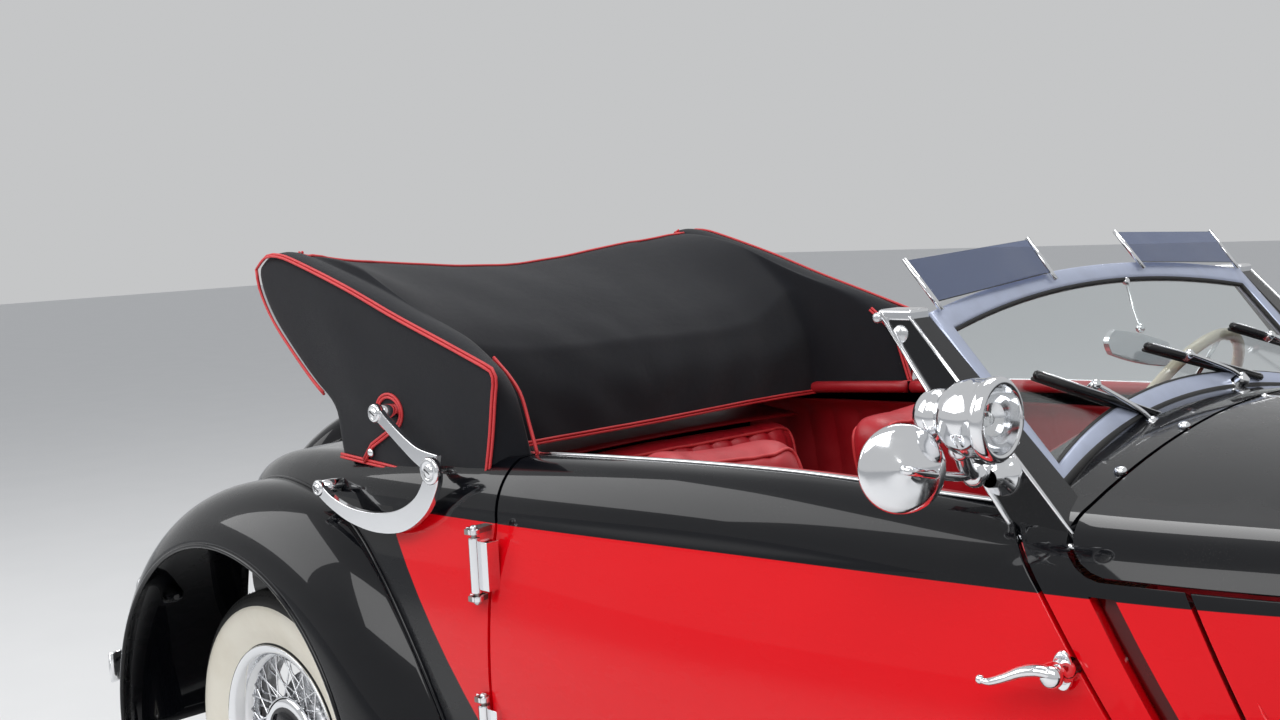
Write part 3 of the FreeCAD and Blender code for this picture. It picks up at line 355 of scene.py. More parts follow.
def knots(table, x):
    """Smooth values at x from rows that start with their own x."""
    i = 0
    while i < len(table) - 2 and x > table[i + 1][0]:
        i += 1
    a, b = table[i], table[i + 1]
    before = table[i - 1] if i else None
    after = table[i + 2] if i + 2 < len(table) else None
    span = b[0] - a[0]
    t = min(max((x - a[0]) / span, 0.0), 1.0)
    out = []
    for k in range(1, len(a)):
        slope = (b[k] - a[k]) / span
        m0 = slope if before is None else (b[k] - before[k]) / (b[0] - before[0])
        m1 = slope if after is None else (after[k] - a[k]) / (after[0] - a[0])
        out.append((2 * t ** 3 - 3 * t ** 2 + 1) * a[k] + (t ** 3 - 2 * t ** 2 + t) * span * m0
                   + (3 * t ** 2 - 2 * t ** 3) * b[k] + (t ** 3 - t ** 2) * span * m1)
    return out


def on_arc(a, b, c, t):
    """The point a share t along the arc that starts at a, passes through b and ends at c."""
    (ax, ay), (bx, by), (cx, cy) = a, b, c
    d = 2 * (ax * (by - cy) + bx * (cy - ay) + cx * (ay - by))
    if abs(d) < 1e-9:
        return (ax + (cx - ax) * t, ay + (cy - ay) * t)
    ux = ((ax ** 2 + ay ** 2) * (by - cy) + (bx ** 2 + by ** 2) * (cy - ay) + (cx ** 2 + cy ** 2) * (ay - by)) / d
    uy = ((ax ** 2 + ay ** 2) * (cx - bx) + (bx ** 2 + by ** 2) * (ax - cx) + (cx ** 2 + cy ** 2) * (bx - ax)) / d
    start = math.atan2(ay - uy, ax - ux)
    middle = (math.atan2(by - uy, bx - ux) - start) % (2 * math.pi)
    sweep = (math.atan2(cy - uy, cx - ux) - start) % (2 * math.pi)
    if middle > sweep:
        sweep -= 2 * math.pi
    r = math.hypot(ax - ux, ay - uy)
    return (ux + r * math.cos(start + sweep * t), uy + r * math.sin(start + sweep * t))


# Body form: the CAD source's cross-sections in millimetres
# ahead, belt half width, belt height, foot half width, foot height, shoulder half width, shoulder height, crown
BODY = [
    (-500, 400, 650, 380, 545, 330, 700, 712),
    (-385, 505, 810, 490, 538, 430, 866, 884),
    (-140, 628, 930, 630, 460, 558, 992, 1012),
    (250, 700, 960, 715, 425, 635, 1046, 1050),
    (840, 724, 967, 735, 425, 655, 1080, 1084),
    (1420, 704, 977, 722, 425, 640, 1095, 1140),
    (1900, 684, 986, 700, 425, 590, 1088, 1172),
    (2160, 654, 991, 668, 425, 545, 1088, 1162),
    (2510, 556, 998, 566, 530, 450, 1081, 1149),
    (2860, 442, 1004, 448, 530, 342, 1073, 1135.5),
    (3215, 322, 1010, 326, 530, 238, 1062, 1122),
    (3400, 259, 1013, 262, 530, 183, 1056, 1115),
]
SIDE_BULGE = 26.0
BELT_Z = 967.0
DOOR_REAR, DOOR_FRONT, DOOR_SLANT, DOOR_NOSE = 840.0, 1938.0, 36.0, 2066.0
BONNET_REAR, BONNET_SLANT, BONNET_FOOT_Z = 2142.0, 28.0, 621.0
LID_REAR, LID_FRONT, LID_EDGE_Z, LID_CORNER_R = 1948.0, 3205.0, 1016.0, 70.0
SHUT_GAP = 6.0
DOOR_TOP_IN = 598.0
TAIL_X, COCKPIT_REAR, COCKPIT_FRONT = -500.0, 180.0, 1800.0
PANEL_WALL, DOOR_WALL, LID_WALL = 0.03, 0.026, 0.008
WHEEL_WELL_R = 0.42


def body_mm(x, level, inset=0.0):
    """Half width and height of the body form, in mm. Level 0 is the foot, 1 the belt, 2 the shoulder, 3 the crest."""
    belt_w, belt_h, foot_w, foot_h, top_w, top_h, crown = knots(BODY, x)
    bw, fw, tw, th = belt_w - inset, foot_w - inset, top_w - inset, top_h - inset
    if level <= 1:
        wide = max(belt_w, foot_w) + SIDE_BULGE * (belt_h - foot_h) / 540.0 - inset
        return on_arc((fw, foot_h), (wide, foot_h + 0.45 * (belt_h - foot_h)), (bw, belt_h), level)
    if level <= 2:
        mid = ((bw + tw) / 2 + 0.16 * (th - belt_h), (belt_h + th) / 2 + 0.16 * (bw - tw))
        return on_arc((bw, belt_h), mid, (tw, th), level - 1)
    return on_arc((tw, th), (0, crown - inset), (-tw, th), (level - 2) / 2)


def body_at(x, level, inset=0.0):
    y, z = body_mm(x, level, inset)
    return Vector((ahead(x / 1000), -y / 1000, z / 1000))


def level_where(x, value, axis, low, high, inset=0.0):
    """The level at which the form's half width (axis 0) or height (axis 1) has this value."""
    a, b = low, high
    rising = body_mm(x, b, inset)[axis] > body_mm(x, a, inset)[axis]
    for _ in range(22):
        mid = (a + b) / 2
        if (body_mm(x, mid, inset)[axis] < value) == rising:
            a = mid
        else:
            b = mid
    return (a + b) / 2


def door_edge(z, shift=0.0):
    return min(DOOR_FRONT + shift - (z - BELT_Z) * math.tan(math.radians(DOOR_SLANT)), DOOR_NOSE + shift)


def bonnet_edge(z):
    return BONNET_REAR - (z - BELT_Z) * math.tan(math.radians(BONNET_SLANT))


def body_panel(rear, front, low, high, across, along, inset=0.0):
    """A grid on the body form between two edges, rear(z) and front(z), and two levels, low(x) and high(x)."""
    def place(u, v):
        z = 900.0
        for _ in range(5):
            x = rear(z) + u * (front(z) - rear(z))
            level = low(x) + v * (high(x) - low(x))
            z = body_mm(x, level, inset)[1]
        return body_at(x, level, inset)
    return sheet_grid(across, along, place)


# Effects that several finishes share

class Effect(Finish):
    """A node group that gives masks or heights from a place on the piece."""

    def __init__(self, name, numbers=(), gives=("Value",)):
        self.tree = bpy.data.node_groups.new(name, "ShaderNodeTree")
        self.tree.interface.new_socket("Place", in_out="INPUT", socket_type="NodeSocketVector")
        for label, default in numbers:
            socket = self.tree.interface.new_socket(label, in_out="INPUT", socket_type="NodeSocketFloat")
            socket.default_value = default
        for label in gives:
            self.tree.interface.new_socket(label, in_out="OUTPUT", socket_type="NodeSocketFloat")
        self.given = self.tree.nodes.new("NodeGroupInput")
        self.result = self.tree.nodes.new("NodeGroupOutput")
        self.place = self.given.outputs["Place"]

    def give(self, label, value):
        self.feed(self.result, label, value)


def smudge_effect():
    """Faint wiped smudges, specks of dust and the slight waviness of sprayed enamel."""
    e = Effect("wiped_surface", [("Size", 6.0)], ["Smudge", "Dust", "Wave"])
    size = e.given.outputs["Size"]
    stretched = e.node("ShaderNodeMapping", None, Vector=e.place, Scale=(1.0, 1.0, 2.6))
    wipes = e.noise(size, 5.0, 0.6, stretched)
    e.give("Smudge", e.ramp(wipes, 0.42, 0.78))
    specks = e.node("ShaderNodeTexVoronoi", None, Vector=e.place, Scale=420.0)
    patches = e.noise(9.0, 3.0)
    dots = e.ramp(specks.outputs["Distance"], 0.16, 0.10)
    e.give("Dust", e.math("MULTIPLY", dots, e.ramp(patches, 0.52, 0.7)))
    e.give("Wave", e.noise(34.0, 1.0))
    return e.tree


def weave_effect():
    """Plain close weave of warp and weft, with slubs."""
    e = Effect("close_weave", [("Threads", 900.0)], ["Height", "Shade"])
    threads = e.given.outputs["Threads"]
    warp = e.node("ShaderNodeTexWave", {"wave_type": "BANDS", "bands_direction": "X"}, Vector=e.place, Scale=threads,
                  Distortion=0.6, Detail=1.0)
    weft = e.node("ShaderNodeTexWave", {"wave_type": "BANDS", "bands_direction": "DIAGONAL"}, Vector=e.place,
                  Scale=threads, Distortion=0.6, Detail=1.0)
    e.give("Height", e.math("MAXIMUM", warp.outputs["Fac"], weft.outputs["Fac"]))
    e.give("Shade", e.ramp(e.noise(26.0, 6.0, 0.65), 0.3, 0.75))
    return e.tree


def hide_effect():
    """Leather grain: small cells with creases between them, and softer hollows from use."""
    e = Effect("hide_grain", [("Cells", 480.0)], ["Height", "Shade"])
    cells = e.node("ShaderNodeTexVoronoi", {"feature": "DISTANCE_TO_EDGE"}, Vector=e.place,
                   Scale=e.given.outputs["Cells"], Randomness=0.9)
    grain = e.ramp(cells.outputs["Distance"], 0.0, 0.22)
    use = e.noise(14.0, 4.0, 0.6)
    e.give("Height", e.math("MULTIPLY_ADD", grain, 0.6, e.math("MULTIPLY", use, 0.4)))
    e.give("Shade", e.ramp(use, 0.3, 0.7))
    return e.tree


def two_tone_effect():
    """1 where the body is in its second colour: below the belt line and ahead of the slanted rear line."""
    e = Effect("two_tone_line", [("Corner", 0.055)], ["Mask"])
    parts = e.node("ShaderNodeSeparateXYZ", None, Vector=e.place)
    x, z = parts.outputs[0], parts.outputs[2]
    corner = e.given.outputs["Corner"]
    belt = e.math("MULTIPLY_ADD", x, 0.0180, 0.9793)
    below = e.math("SUBTRACT", belt, z)
    rear_x = e.math("MULTIPLY_ADD", z, -0.83, -0.975 + 0.83 * 0.930)
    ahead_of = e.math("MULTIPLY", e.math("SUBTRACT", x, rear_x), 0.77)
    short_a = e.math("MAXIMUM", e.math("SUBTRACT", corner, below), 0.0)
    short_b = e.math("MAXIMUM", e.math("SUBTRACT", corner, ahead_of), 0.0)
    far = e.math("SQRT", e.math("ADD", e.math("MULTIPLY", short_a, short_a), e.math("MULTIPLY", short_b, short_b)))
    gap = e.math("SUBTRACT", corner, far)
    e.give("Mask", e.ramp(gap, -0.0004, 0.0004))
    return e.tree


SMUDGE, WEAVE, HIDE, TWO_TONE = smudge_effect(), weave_effect(), hide_effect(), two_tone_effect()

BLACK = (0.0022, 0.0025, 0.004)
RED = (0.70, 0.001, 0.006)
DUST = (0.32, 0.30, 0.27)


def enamel(name, color, second=None):
    """Sprayed and polished enamel, in one colour or two."""
    f = Finish(name, color, 0.3, Specular_IOR_Level=0.06, Coat_Weight=0.9, Coat_Roughness=0.03, Coat_IOR=1.42)
    life = f.group(SMUDGE, Place=f.place)
    base = color
    if second:
        base = f.mix(f.group(TWO_TONE, Place=f.place), color, second)
    dust = f.math("MULTIPLY", life.outputs["Dust"], 0.22)
    f.set("Base Color", f.mix(dust, base, DUST))
    f.set("Roughness", f.ramp(life.outputs["Smudge"], 0.0, 1.0, 0.24, 0.42))
    f.bump(life.outputs["Wave"], 0.03, 0.001)
    return f.material


def plated(name, color=(0.86, 0.87, 0.89), rough=0.05, worn=0.14):
    f = Finish(name, color, rough, 1.0)
    life = f.group(SMUDGE, Place=f.place, Size=22.0)
    f.set("Roughness", f.ramp(life.outputs["Smudge"], 0.0, 1.0, rough, rough + worn))
    f.set("Base Color", f.mix(f.math("MULTIPLY", life.outputs["Dust"], 0.35), color, (0.4, 0.39, 0.36)))
    f.bump(life.outputs["Wave"], 0.03, 0.0006)
    return f.material


def cloth(name, color, lighter, threads=900.0):
    f = Finish(name, color, 0.9, Sheen_Weight=0.12, Sheen_Roughness=0.5, Specular_IOR_Level=0.2)
    knit = f.group(WEAVE, Place=f.place, Threads=threads)
    f.set("Base Color", f.mix(f.math("MULTIPLY", knit.outputs["Shade"], 0.6), color, lighter))
    f.set("Roughness", f.ramp(knit.outputs["Shade"], 0.0, 1.0, 0.82, 0.95))
    soft = f.noise(60.0, 4.0)
    low = f.node("ShaderNodeBump", None, Height=soft, Strength=0.12, Distance=0.004)
    f.bump(knit.outputs["Height"], 0.25, 0.0004, low)
    return f.material


def hide(name, color, lighter, rough=0.36, cells=480.0):
    f = Finish(name, color, rough, Coat_Weight=0.12, Coat_Roughness=0.3)
    grain = f.group(HIDE, Place=f.place, Cells=cells)
    f.set("Base Color", f.mix(f.math("MULTIPLY", grain.outputs["Shade"], 0.5), color, lighter))
    f.set("Roughness", f.ramp(grain.outputs["Shade"], 0.0, 1.0, rough, rough + 0.16))
    f.bump(grain.outputs["Height"], 0.22, 0.0006)
    return f.material


def plain_metal(name, color, rough, grime, metal=1.0):
    """Dull or painted metal with grime in patches."""
    f = Finish(name, color, rough, metal)
    life = f.group(SMUDGE, Place=f.place, Size=9.0)
    patches = f.noise(17.0, 6.0, 0.62)
    f.set("Base Color", f.mix(f.ramp(patches, 0.45, 0.7, 0.0, 0.7), color, grime))
    f.set("Roughness", f.ramp(life.outputs["Smudge"], 0.0, 1.0, rough, min(rough + 0.25, 1.0)))
    f.bump(patches, 0.15, 0.0008)
    return f.material


def rubber(name, color, lighter, rough=0.72):
    f = Finish(name, color, rough)
    fine = f.noise(260.0, 3.0)
    patches = f.noise(8.0, 5.0, 0.6)
    f.set("Base Color", f.mix(f.ramp(patches, 0.4, 0.75, 0.0, 0.8), color, lighter))
    f.set("Roughness", f.ramp(patches, 0.3, 0.7, rough - 0.08, rough + 0.1))
    f.bump(fine, 0.18, 0.0004)
    return f.material


def pane(name, tint, rough=0.0):
    """Clear or tinted glass, faintly smeared."""
    f = Finish(name, tint, rough, Transmission_Weight=1.0, IOR=1.45)
    smears = f.noise(7.0, 5.0, 0.6)
    f.set("Base Color", f.mix(f.ramp(smears, 0.5, 0.85, 0.0, 0.12), tint, (0.80, 0.82, 0.84)))
    f.set("Roughness", f.ramp(smears, 0.55, 0.9, rough, rough + 0.03))
    return f.material


def veneer(name):
    f = Finish(name, (0.16, 0.06, 0.025), 0.2, Coat_Weight=0.8, Coat_Roughness=0.06)
    along = f.node("ShaderNodeMapping", None, Vector=f.place, Scale=(1.0, 0.35, 5.0))
    rings = f.node("ShaderNodeTexWave", {"wave_type": "BANDS", "bands_direction": "Z"}, Vector=along, Scale=9.0,
                   Distortion=5.5, Detail=4.0, Detail_Roughness=0.62)
    pores = f.noise(240.0, 2.0, 0.5, along)
    grain = f.mix(rings.outputs["Fac"], (0.20, 0.075, 0.028), (0.075, 0.024, 0.010))
    f.set("Base Color", f.mix(f.ramp(pores, 0.6, 0.75, 0.0, 0.5), grain, (0.03, 0.012, 0.006)))
    f.bump(rings.outputs["Fac"], 0.04, 0.0004)
    return f.material


black_paint = enamel("black_enamel", BLACK)
body_paint = enamel("two_tone_enamel", BLACK, RED)
chrome = plated("bright_plate")
dull_plate = plated("satin_plate", (0.62, 0.63, 0.65), 0.22, 0.2)
mirror_face = plated("mirror_face", (0.93, 0.94, 0.95), 0.015, 0.02)
hood_cloth = cloth("hood_cloth", (0.0065, 0.007, 0.0095), (0.013, 0.014, 0.018))
piping_hide = hide("red_piping", (0.56, 0.022, 0.028), (0.70, 0.07, 0.07), 0.42, 900.0)
seat_hide = hide("seat_hide", (0.42, 0.006, 0.014), (0.54, 0.020, 0.030))
trim_hide = hide("trim_hide", (0.34, 0.005, 0.011), (0.44, 0.015, 0.022), 0.42)
carpet = cloth("carpet", (0.20, 0.006, 0.010), (0.30, 0.015, 0.02), 340.0)
chassis_paint = plain_metal("chassis_paint", (0.02, 0.02, 0.021), 0.42, (0.07, 0.06, 0.05), 0.0)
dull_steel = plain_metal("dull_steel", (0.34, 0.33, 0.32), 0.42, (0.16, 0.11, 0.08))
cast_metal = plain_metal("cast_metal", (0.07, 0.075, 0.075), 0.55, (0.03, 0.026, 0.022), 0.3)
# The windscreen band: half-metallic silver with a blue tint in its colour, a painted reflection of the sky.
screen_band_with_painted_sky_blue = plain_metal("screen_band_with_painted_sky_blue", (0.50, 0.55, 0.70), 0.3, (0.44, 0.48, 0.60), 0.5)
tread_rubber = rubber("tyre_rubber", (0.012, 0.012, 0.0125), (0.035, 0.034, 0.032))
wall_rubber = rubber("cream_tyre_wall", (0.78, 0.74, 0.64), (0.68, 0.63, 0.52), 0.5)
mat_rubber = rubber("step_rubber", (0.012, 0.012, 0.013), (0.05, 0.048, 0.045), 0.62)
dark_plastic = rubber("black_bakelite", (0.01, 0.01, 0.011), (0.018, 0.018, 0.019), 0.25)
cream_plastic = rubber("cream_bakelite", (0.78, 0.71, 0.55), (0.66, 0.58, 0.42), 0.22)
window_glass = pane("window_glass", (0.93, 0.97, 0.97))
visor_glass = pane("blue_visor_glass", (0.20, 0.25, 0.42))
lamp_glass = pane("lamp_glass", (0.95, 0.96, 0.96))
wood = veneer("dark_veneer")
# The signal arms' red, painted much darker than the body's red to stand for the shade inside their slots.
signal_arm_red_and_painted_shade = rubber("signal_arm_red_with_painted_recess_shade", (0.10, 0.001, 0.002), (0.05, 0.001, 0.001), 0.3)
lamp_red = rubber("red_lamp_glass", (0.42, 0.004, 0.006), (0.5, 0.01, 0.012), 0.1)


# Studio: a pale surround, pale floor and three soft lamps
# place, aim, size across and along, watts
LAMPS = (((1.5, -4.5, 5.2), (0, 0, 0.7), 6.0, 3.0, 190.0),
         ((-4.5, -3.5, 4.6), (-0.3, 0, 0.7), 4.0, 4.0, 130.0),
         ((-0.8, 2.6, 7.0), (0, 0, 0.8), 4.0, 3.0, 170.0))


class Surround(Finish):
    """The world's own nodes."""

    def __init__(self, world):
        world.use_nodes = True
        self.tree = world.node_tree


def make_surround():
    """Soft light from all round, shown as it is to the camera, in gloss and through glass."""
    world = bpy.data.worlds.new("surround")
    bpy.context.scene.world = world
    s = Surround(world)
    light = s.tree.nodes["Background"]
    s.feed(light, "Color", (0.92, 0.95, 1.0, 1.0))
    s.feed(light, "Strength", 0.55)
    seen = s.node("ShaderNodeBackground", None, Color=(0.93, 0.94, 0.95, 1.0), Strength=0.6)
    rays = s.node("ShaderNodeLightPath").outputs
    either = s.math("MAXIMUM", rays["Is Camera Ray"], rays["Is Transmission Ray"])
    switch = s.node("ShaderNodeMixShader")
    for socket, value in zip(switch.inputs, (s.math("MAXIMUM", either, rays["Is Glossy Ray"]), light, seen)):
        s.put(socket, value)
    s.feed(s.tree.nodes["World Output"], "Surface", switch)


def make_studio():
    make_surround()
    ground = Finish("studio_floor", (0.78, 0.78, 0.77), 0.8)
    ground.set("Base Color", ground.mix(ground.noise(3.0, 6.0), (0.70, 0.70, 0.695), (0.74, 0.737, 0.73)))
    bm = bmesh.new()
    bmesh.ops.create_grid(bm, x_segments=1, y_segments=1, size=40.0)
    bmesh.ops.translate(bm, vec=(0, 0, -0.0015), verts=bm.verts)
    floor = piece_from("studio_floor", bm)
    floor.data.materials.append(ground.material)
    for place, aim, wide, deep, watts in LAMPS:
        data = bpy.data.lights.new("soft_lamp", "AREA")
        data.shape = "RECTANGLE"
        data.size, data.size_y, data.energy = wide, deep, watts
        turn = (Vector(place) - Vector(aim)).to_track_quat("Z", "Y").to_matrix().to_4x4()
        linked("soft_lamp", data).matrix_world = Matrix.Translation(place) @ turn
    bpy.context.scene.view_settings.view_transform = "Standard"


make_studio()


# Finishes of the CAD nodes that stay as they are
NODE_FINISH = {
    chassis_paint: ("frame", "front_axle", "rear_axle", "springs", "tie_rod", "knuckle_left", "knuckle_right",
                    "fuel_tank"),
    dull_steel: ("exhaust", "hinge_pins"),
    cast_metal: ("engine_block",),
    carpet: ("floor",),
    black_paint: ("steering_column",),
    window_glass: ("windscreen_glass",),
    visor_glass: ("sun_visors",),
}


def dress(node, material):
    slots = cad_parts[node].material_slots
    for slot in slots:
        slot.material = material
    if not slots:
        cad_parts[node].data.materials.append(material)


for material, names in NODE_FINISH.items():
    for name in names:
        dress(name, material)


# Body panels

def always(value):
    return lambda _: value


def slant_plane(at_belt, slant, forward=1):
    """The plane of a leaning shut line; its normal points forward (or back with forward=-1)."""
    lean = math.radians(slant)
    return (mm(at_belt, 0, BELT_Z), Vector((math.cos(lean), 0, math.sin(lean))) * forward)


def lid_planes(grow):
    """Planes round a bonnet lid's side outline, with its rounded lower rear corner."""
    x0, z0, r = LID_REAR - grow, LID_EDGE_Z - grow, LID_CORNER_R
    planes = [(mm(x0, 0, 1100), (-1, 0, 0)), (mm(2500, 0, z0), (0, 0, -1))]
    for k in range(1, 6):
        a = math.radians(15 * k)
        out = Vector((-math.cos(a), 0, -math.sin(a)))
        planes.append((mm(x0 + r, 0, z0 + r) + out * (r / 1000), out))
    return planes


def skin(name, bm, body, finish, node, slot, wall, edge=0.003):
    """A panel of the body, with its wall and softened edges."""
    return soften(thicken(finished(name, bm, body, finish, [node], slot, outward=False), wall), edge)


def make_quarters():
    """Quarters and tail, open for the cockpit and over the rear wheels."""
    bm = body_panel(always(TAIL_X), always(DOOR_REAR), always(0), always(3), 44, 30)

    def tail_end(u, v):
        spot = body_at(TAIL_X, 3 * v)
        return Vector((spot.x, spot.y * u, spot.z))
    tail = bpy.data.meshes.new("tail")
    end = sheet_grid(6, 30, tail_end)
    end.to_mesh(tail)
    end.free()
    bm.from_mesh(tail)
    carve(bm, [(mm(COCKPIT_REAR, 0, 0), (-1, 0, 0)), (mm(0, -DOOR_TOP_IN, 0), (0, -1, 0)),
               (mm(0, 0, 900), (0, 0, -1))], False)
    hub = mm(0, 0, TYRE_R)
    ways = [Vector((math.cos(a), 0, math.sin(a))) for a in (math.radians(12 * k) for k in range(16))]
    carve(bm, [(hub + way * WHEEL_WELL_R, way) for way in ways] + [(hub, (0, 0, -1))], False)
    other_side(bm)
    skin("quarters_and_tail", bm, "car", body_paint, "body_shell", "black_paint", PANEL_WALL)


def make_door(side, name):
    bm = body_panel(always(DOOR_REAR + SHUT_GAP), door_edge, always(0),
                    lambda x: level_where(x, DOOR_TOP_IN, 0, 2, 3), 40, 34)
    if side > 0:
        flip(bm)
    skin("door_skin_" + name, bm, "door_" + name, body_paint, "door_" + name, "red_paint", DOOR_WALL)


def signal_slot(grow=0.0):
    """Planes round the slanted slot of the signal arm in the scuttle's side."""
    return [slant_plane(2008 - grow, 34, -1), slant_plane(2044 + grow, 34), (mm(0, 0, 991 + grow), (0, 0, 1)),
            (mm(0, 0, 800 - grow), (0, 0, -1))]


def make_scuttle():
    """Cowl and front posts, cut clear of the doors, the bonnet and the signal arms' slots."""
    bm = body_panel(always(COCKPIT_FRONT), always(2260), always(0), always(3), 30, 40)
    carve(bm, [slant_plane(DOOR_FRONT + 7.5, DOOR_SLANT), (mm(DOOR_NOSE + 7.5, 0, 0), (1, 0, 0)),
               (mm(0, -DOOR_TOP_IN + SHUT_GAP, 0), (0, 1, 0))], False)
    for planes in ([slant_plane(BONNET_REAR - SHUT_GAP, BONNET_SLANT, -1)], lid_planes(SHUT_GAP), signal_slot()):
        carve(bm, planes, False)
    other_side(bm)
    # Faces at the back of the signal arm slots, in a red darkened as painted shade of the recess.
    pocket = body_panel(always(1985), always(2160), lambda x: level_where(x, 790, 1, 0, 1),
                        lambda x: level_where(x, 1000, 1, 1, 2), 8, 8, 22)
    carve(pocket, signal_slot(1.5), True)
    other_side(pocket)
    thicken(finished("signal_arm_faces", pocket, "car", signal_arm_red_and_painted_shade, slot="red_paint", outward=False), 0.003)
    skin("scuttle_skin", bm, "car", body_paint, "scuttle", "black_paint", PANEL_WALL)


def make_bonnet():
    """Two lids that meet at the crest, and the fixed sides below them."""
    for side, name in SIDES:
        bm = body_panel(always(LID_REAR), always(LID_FRONT), lambda x: level_where(x, LID_EDGE_Z - 4, 1, 1, 2),
                        always(3), 46, 18)
        carve(bm, lid_planes(0) + [(mm(0, -5, 0), (0, 1, 0))], True)
        if side > 0:
            flip(bm)
        skin("bonnet_lid_skin_" + name, bm, "bonnet_" + name, black_paint, "bonnet_lid_" + name, "black_paint",
             LID_WALL, 0.002)
    bm = body_panel(bonnet_edge, always(LID_FRONT), lambda x: level_where(x, BONNET_FOOT_Z, 1, 0, 1),
                    lambda x: level_where(x, LID_EDGE_Z - SHUT_GAP, 1, 0.9, 2), 46, 20)
    other_side(bm)
    skin("bonnet_side_skins", bm, "car", body_paint, "bonnet_sides", "red_paint", LID_WALL, 0.002)


make_quarters()
for side, name in SIDES:
    make_door(side, name)
make_scuttle()
make_bonnet()


# Fenders: pages of lip, crown and inner edge, standing round each wheel
# angle from straight ahead, lip radius, crown radius, crown y, inner radius, inner y
REAR_FENDER = [
    (-3, 520, 745, 745, 740, 660), (20, 520, 735, 742, 730, 660), (48, 515, 690, 728, 690, 640),
    (80, 495, 625, 715, 630, 600), (115, 480, 585, 712, 590, 540), (150, 474, 560, 715, 565, 480),
    (186, 472, 520, 730, 520, 460),
]
FRONT_FENDER = [
    (-14, 470, 500, 740, 495, 470), (30, 480, 560, 725, 500, 420), (75, 490, 600, 715, 490, 400),
    (115, 500, 630, 715, 530, 430), (145, 520, 700, 725, 640, 520), (168, 590, 820, 742, 790, 640),
    (182, 800, 960, 760, 955, 664),
]
FENDER_Y = 855.0
# shares of a section's way from the lip to the crown, and from there to the inner edge
CROWN_SHARE, INNER_SHARE = 0.55, 0.45
BODY_FRONT = 3209


def fender_mm(wheel_x, table, angle, v):
    """A point of the fender: v is 0 at the lip and 1 at the inner edge. Gives ahead, outward and height in mm."""
    lip_r, crown_r, crown_y, in_r, in_y = knots(table, angle)
    if v < CROWN_SHARE:
        mid_r, mid_y = (lip_r + crown_r) / 2 + 16, (FENDER_Y + crown_y) / 2 + 26
        r, y = on_arc((lip_r, FENDER_Y), (mid_r, mid_y), (crown_r, crown_y), v / CROWN_SHARE)
    else:
        t = (v - CROWN_SHARE) / INNER_SHARE
        r, y = crown_r + (in_r - crown_r) * t, crown_y + (in_y - crown_y) * t
    a = math.radians(angle)
    return (wheel_x + r * math.cos(a), y, TYRE_R + r * math.sin(a))


def body_half(x, z):
    """Half width of the body form at a height, or 0 above, below, behind and ahead of it."""
    if x < TAIL_X or x > BODY_FRONT or z >= body_mm(x, 3)[1] or z <= body_mm(x, 0)[1]:
        return 0.0
    return body_mm(x, level_where(x, z, 1, 0, 3))[0]


def fender_end(wheel_x, table, angle):
    """The share of the section at which it meets the body."""
    def inside(v):
        x, y, z = fender_mm(wheel_x, table, angle, v)
        return y < body_half(x, z) + 0.8
    for k in range(1, 25):
        if inside(k / 24):
            low, high = (k - 1) / 24 if k > 1 else 0.0, k / 24
            for _ in range(12):
                half = (low + high) / 2
                low, high = (low, half) if inside(half) else (half, high)
            return low
    return 1.0


def make_fender_pair(name, wheel_x, table):
    first, last = table[0][0], table[-1][0]
    count = 60
    ends = [fender_end(wheel_x, table, first + (last - first) * k / count) for k in range(count + 1)]

    def at(u, share):
        k = min(int(u * count), count - 1)
        end = ends[k] + (ends[k + 1] - ends[k]) * (u * count - k)
        x, y, z = fender_mm(wheel_x, table, first + (last - first) * u, share * end)
        return mm(x, -y, z)
    bm = sheet_grid(count, 18, at)
    bmesh.ops.reverse_faces(bm, faces=bm.faces)
    other_side(bm)
    thicken(finished("fenders_" + name + "_skin", bm, "car", black_paint, ["fenders_" + name], "black_paint",
                     outward=False), 0.006)
    lip = [at(k / count, 0.0) + Vector((0, 0.002, 0)) for k in range(count + 1)]
    bead = [at(k / count, 1.0) for k in range(count + 1) if ends[k] < 0.99]
    for kind, line, radius, sides in (("lips", lip, 0.0055, 8), ("beads", bead, 0.0042, 6)):
        cord = bmesh.new()
        tube(cord, line, radius, sides)
        other_side(cord)
        finished("fender_" + kind + "_" + name, cord, "car", black_paint, slot="black_paint")


make_fender_pair("rear", 0.0, REAR_FENDER)
make_fender_pair("front", WHEELBASE, FRONT_FENDER)


# Wheels: tyres with a pale wall, laced wire wheels
WHEELS = {"front_left": (WHEELBASE, 1), "front_right": (WHEELBASE, -1), "rear_left": (0, 1), "rear_right": (0, -1)}
# radius and outward place: the tyre's outer half from bead to shoulder, and on to the middle of the tread
TYRE_WALL = [(213.4, 49.6), (219, 53), (226, 54), (234, 53.5), (244, 58), (262, 67), (282, 73), (300, 75),
             (314, 73.5), (321, 70.5), (322.5, 68.5), (324, 69), (332, 65), (340, 58), (345, 51)]
TYRE_TREAD = [(349.5, 45), (352.5, 38), (353, 30.5), (348.5, 30), (348.5, 27), (354.5, 26.5), (355, 18.5),
              (350, 18), (350, 15), (355.6, 14.5), (356, 6), (351, 5.5), (351, 2)]
WALL_RING = (233, 322)
SHOULDER_BLOCKS, BLOCK_SIZE, BLOCK_SKEW, BLOCK_SLOPE = 150, (0.0125, 0.015, 0.010), 0.45, 0.62
SHOULDER_Y, SHOULDER_R = 0.0475, 0.3443
RIM = [(231, 60), (229, 61.5), (226, 61), (214, 55.5), (209, 52), (207.5, 31), (205, 27.5), (198, 25), (196.5, 0),
       (198, -25), (208, -29), (208, -56), (226, -60), (231, -60), (231, -53), (213, -50), (213, -24), (203, -20),
       (203, 20), (213, 24), (213, 50), (229, 53), (231, 60)]
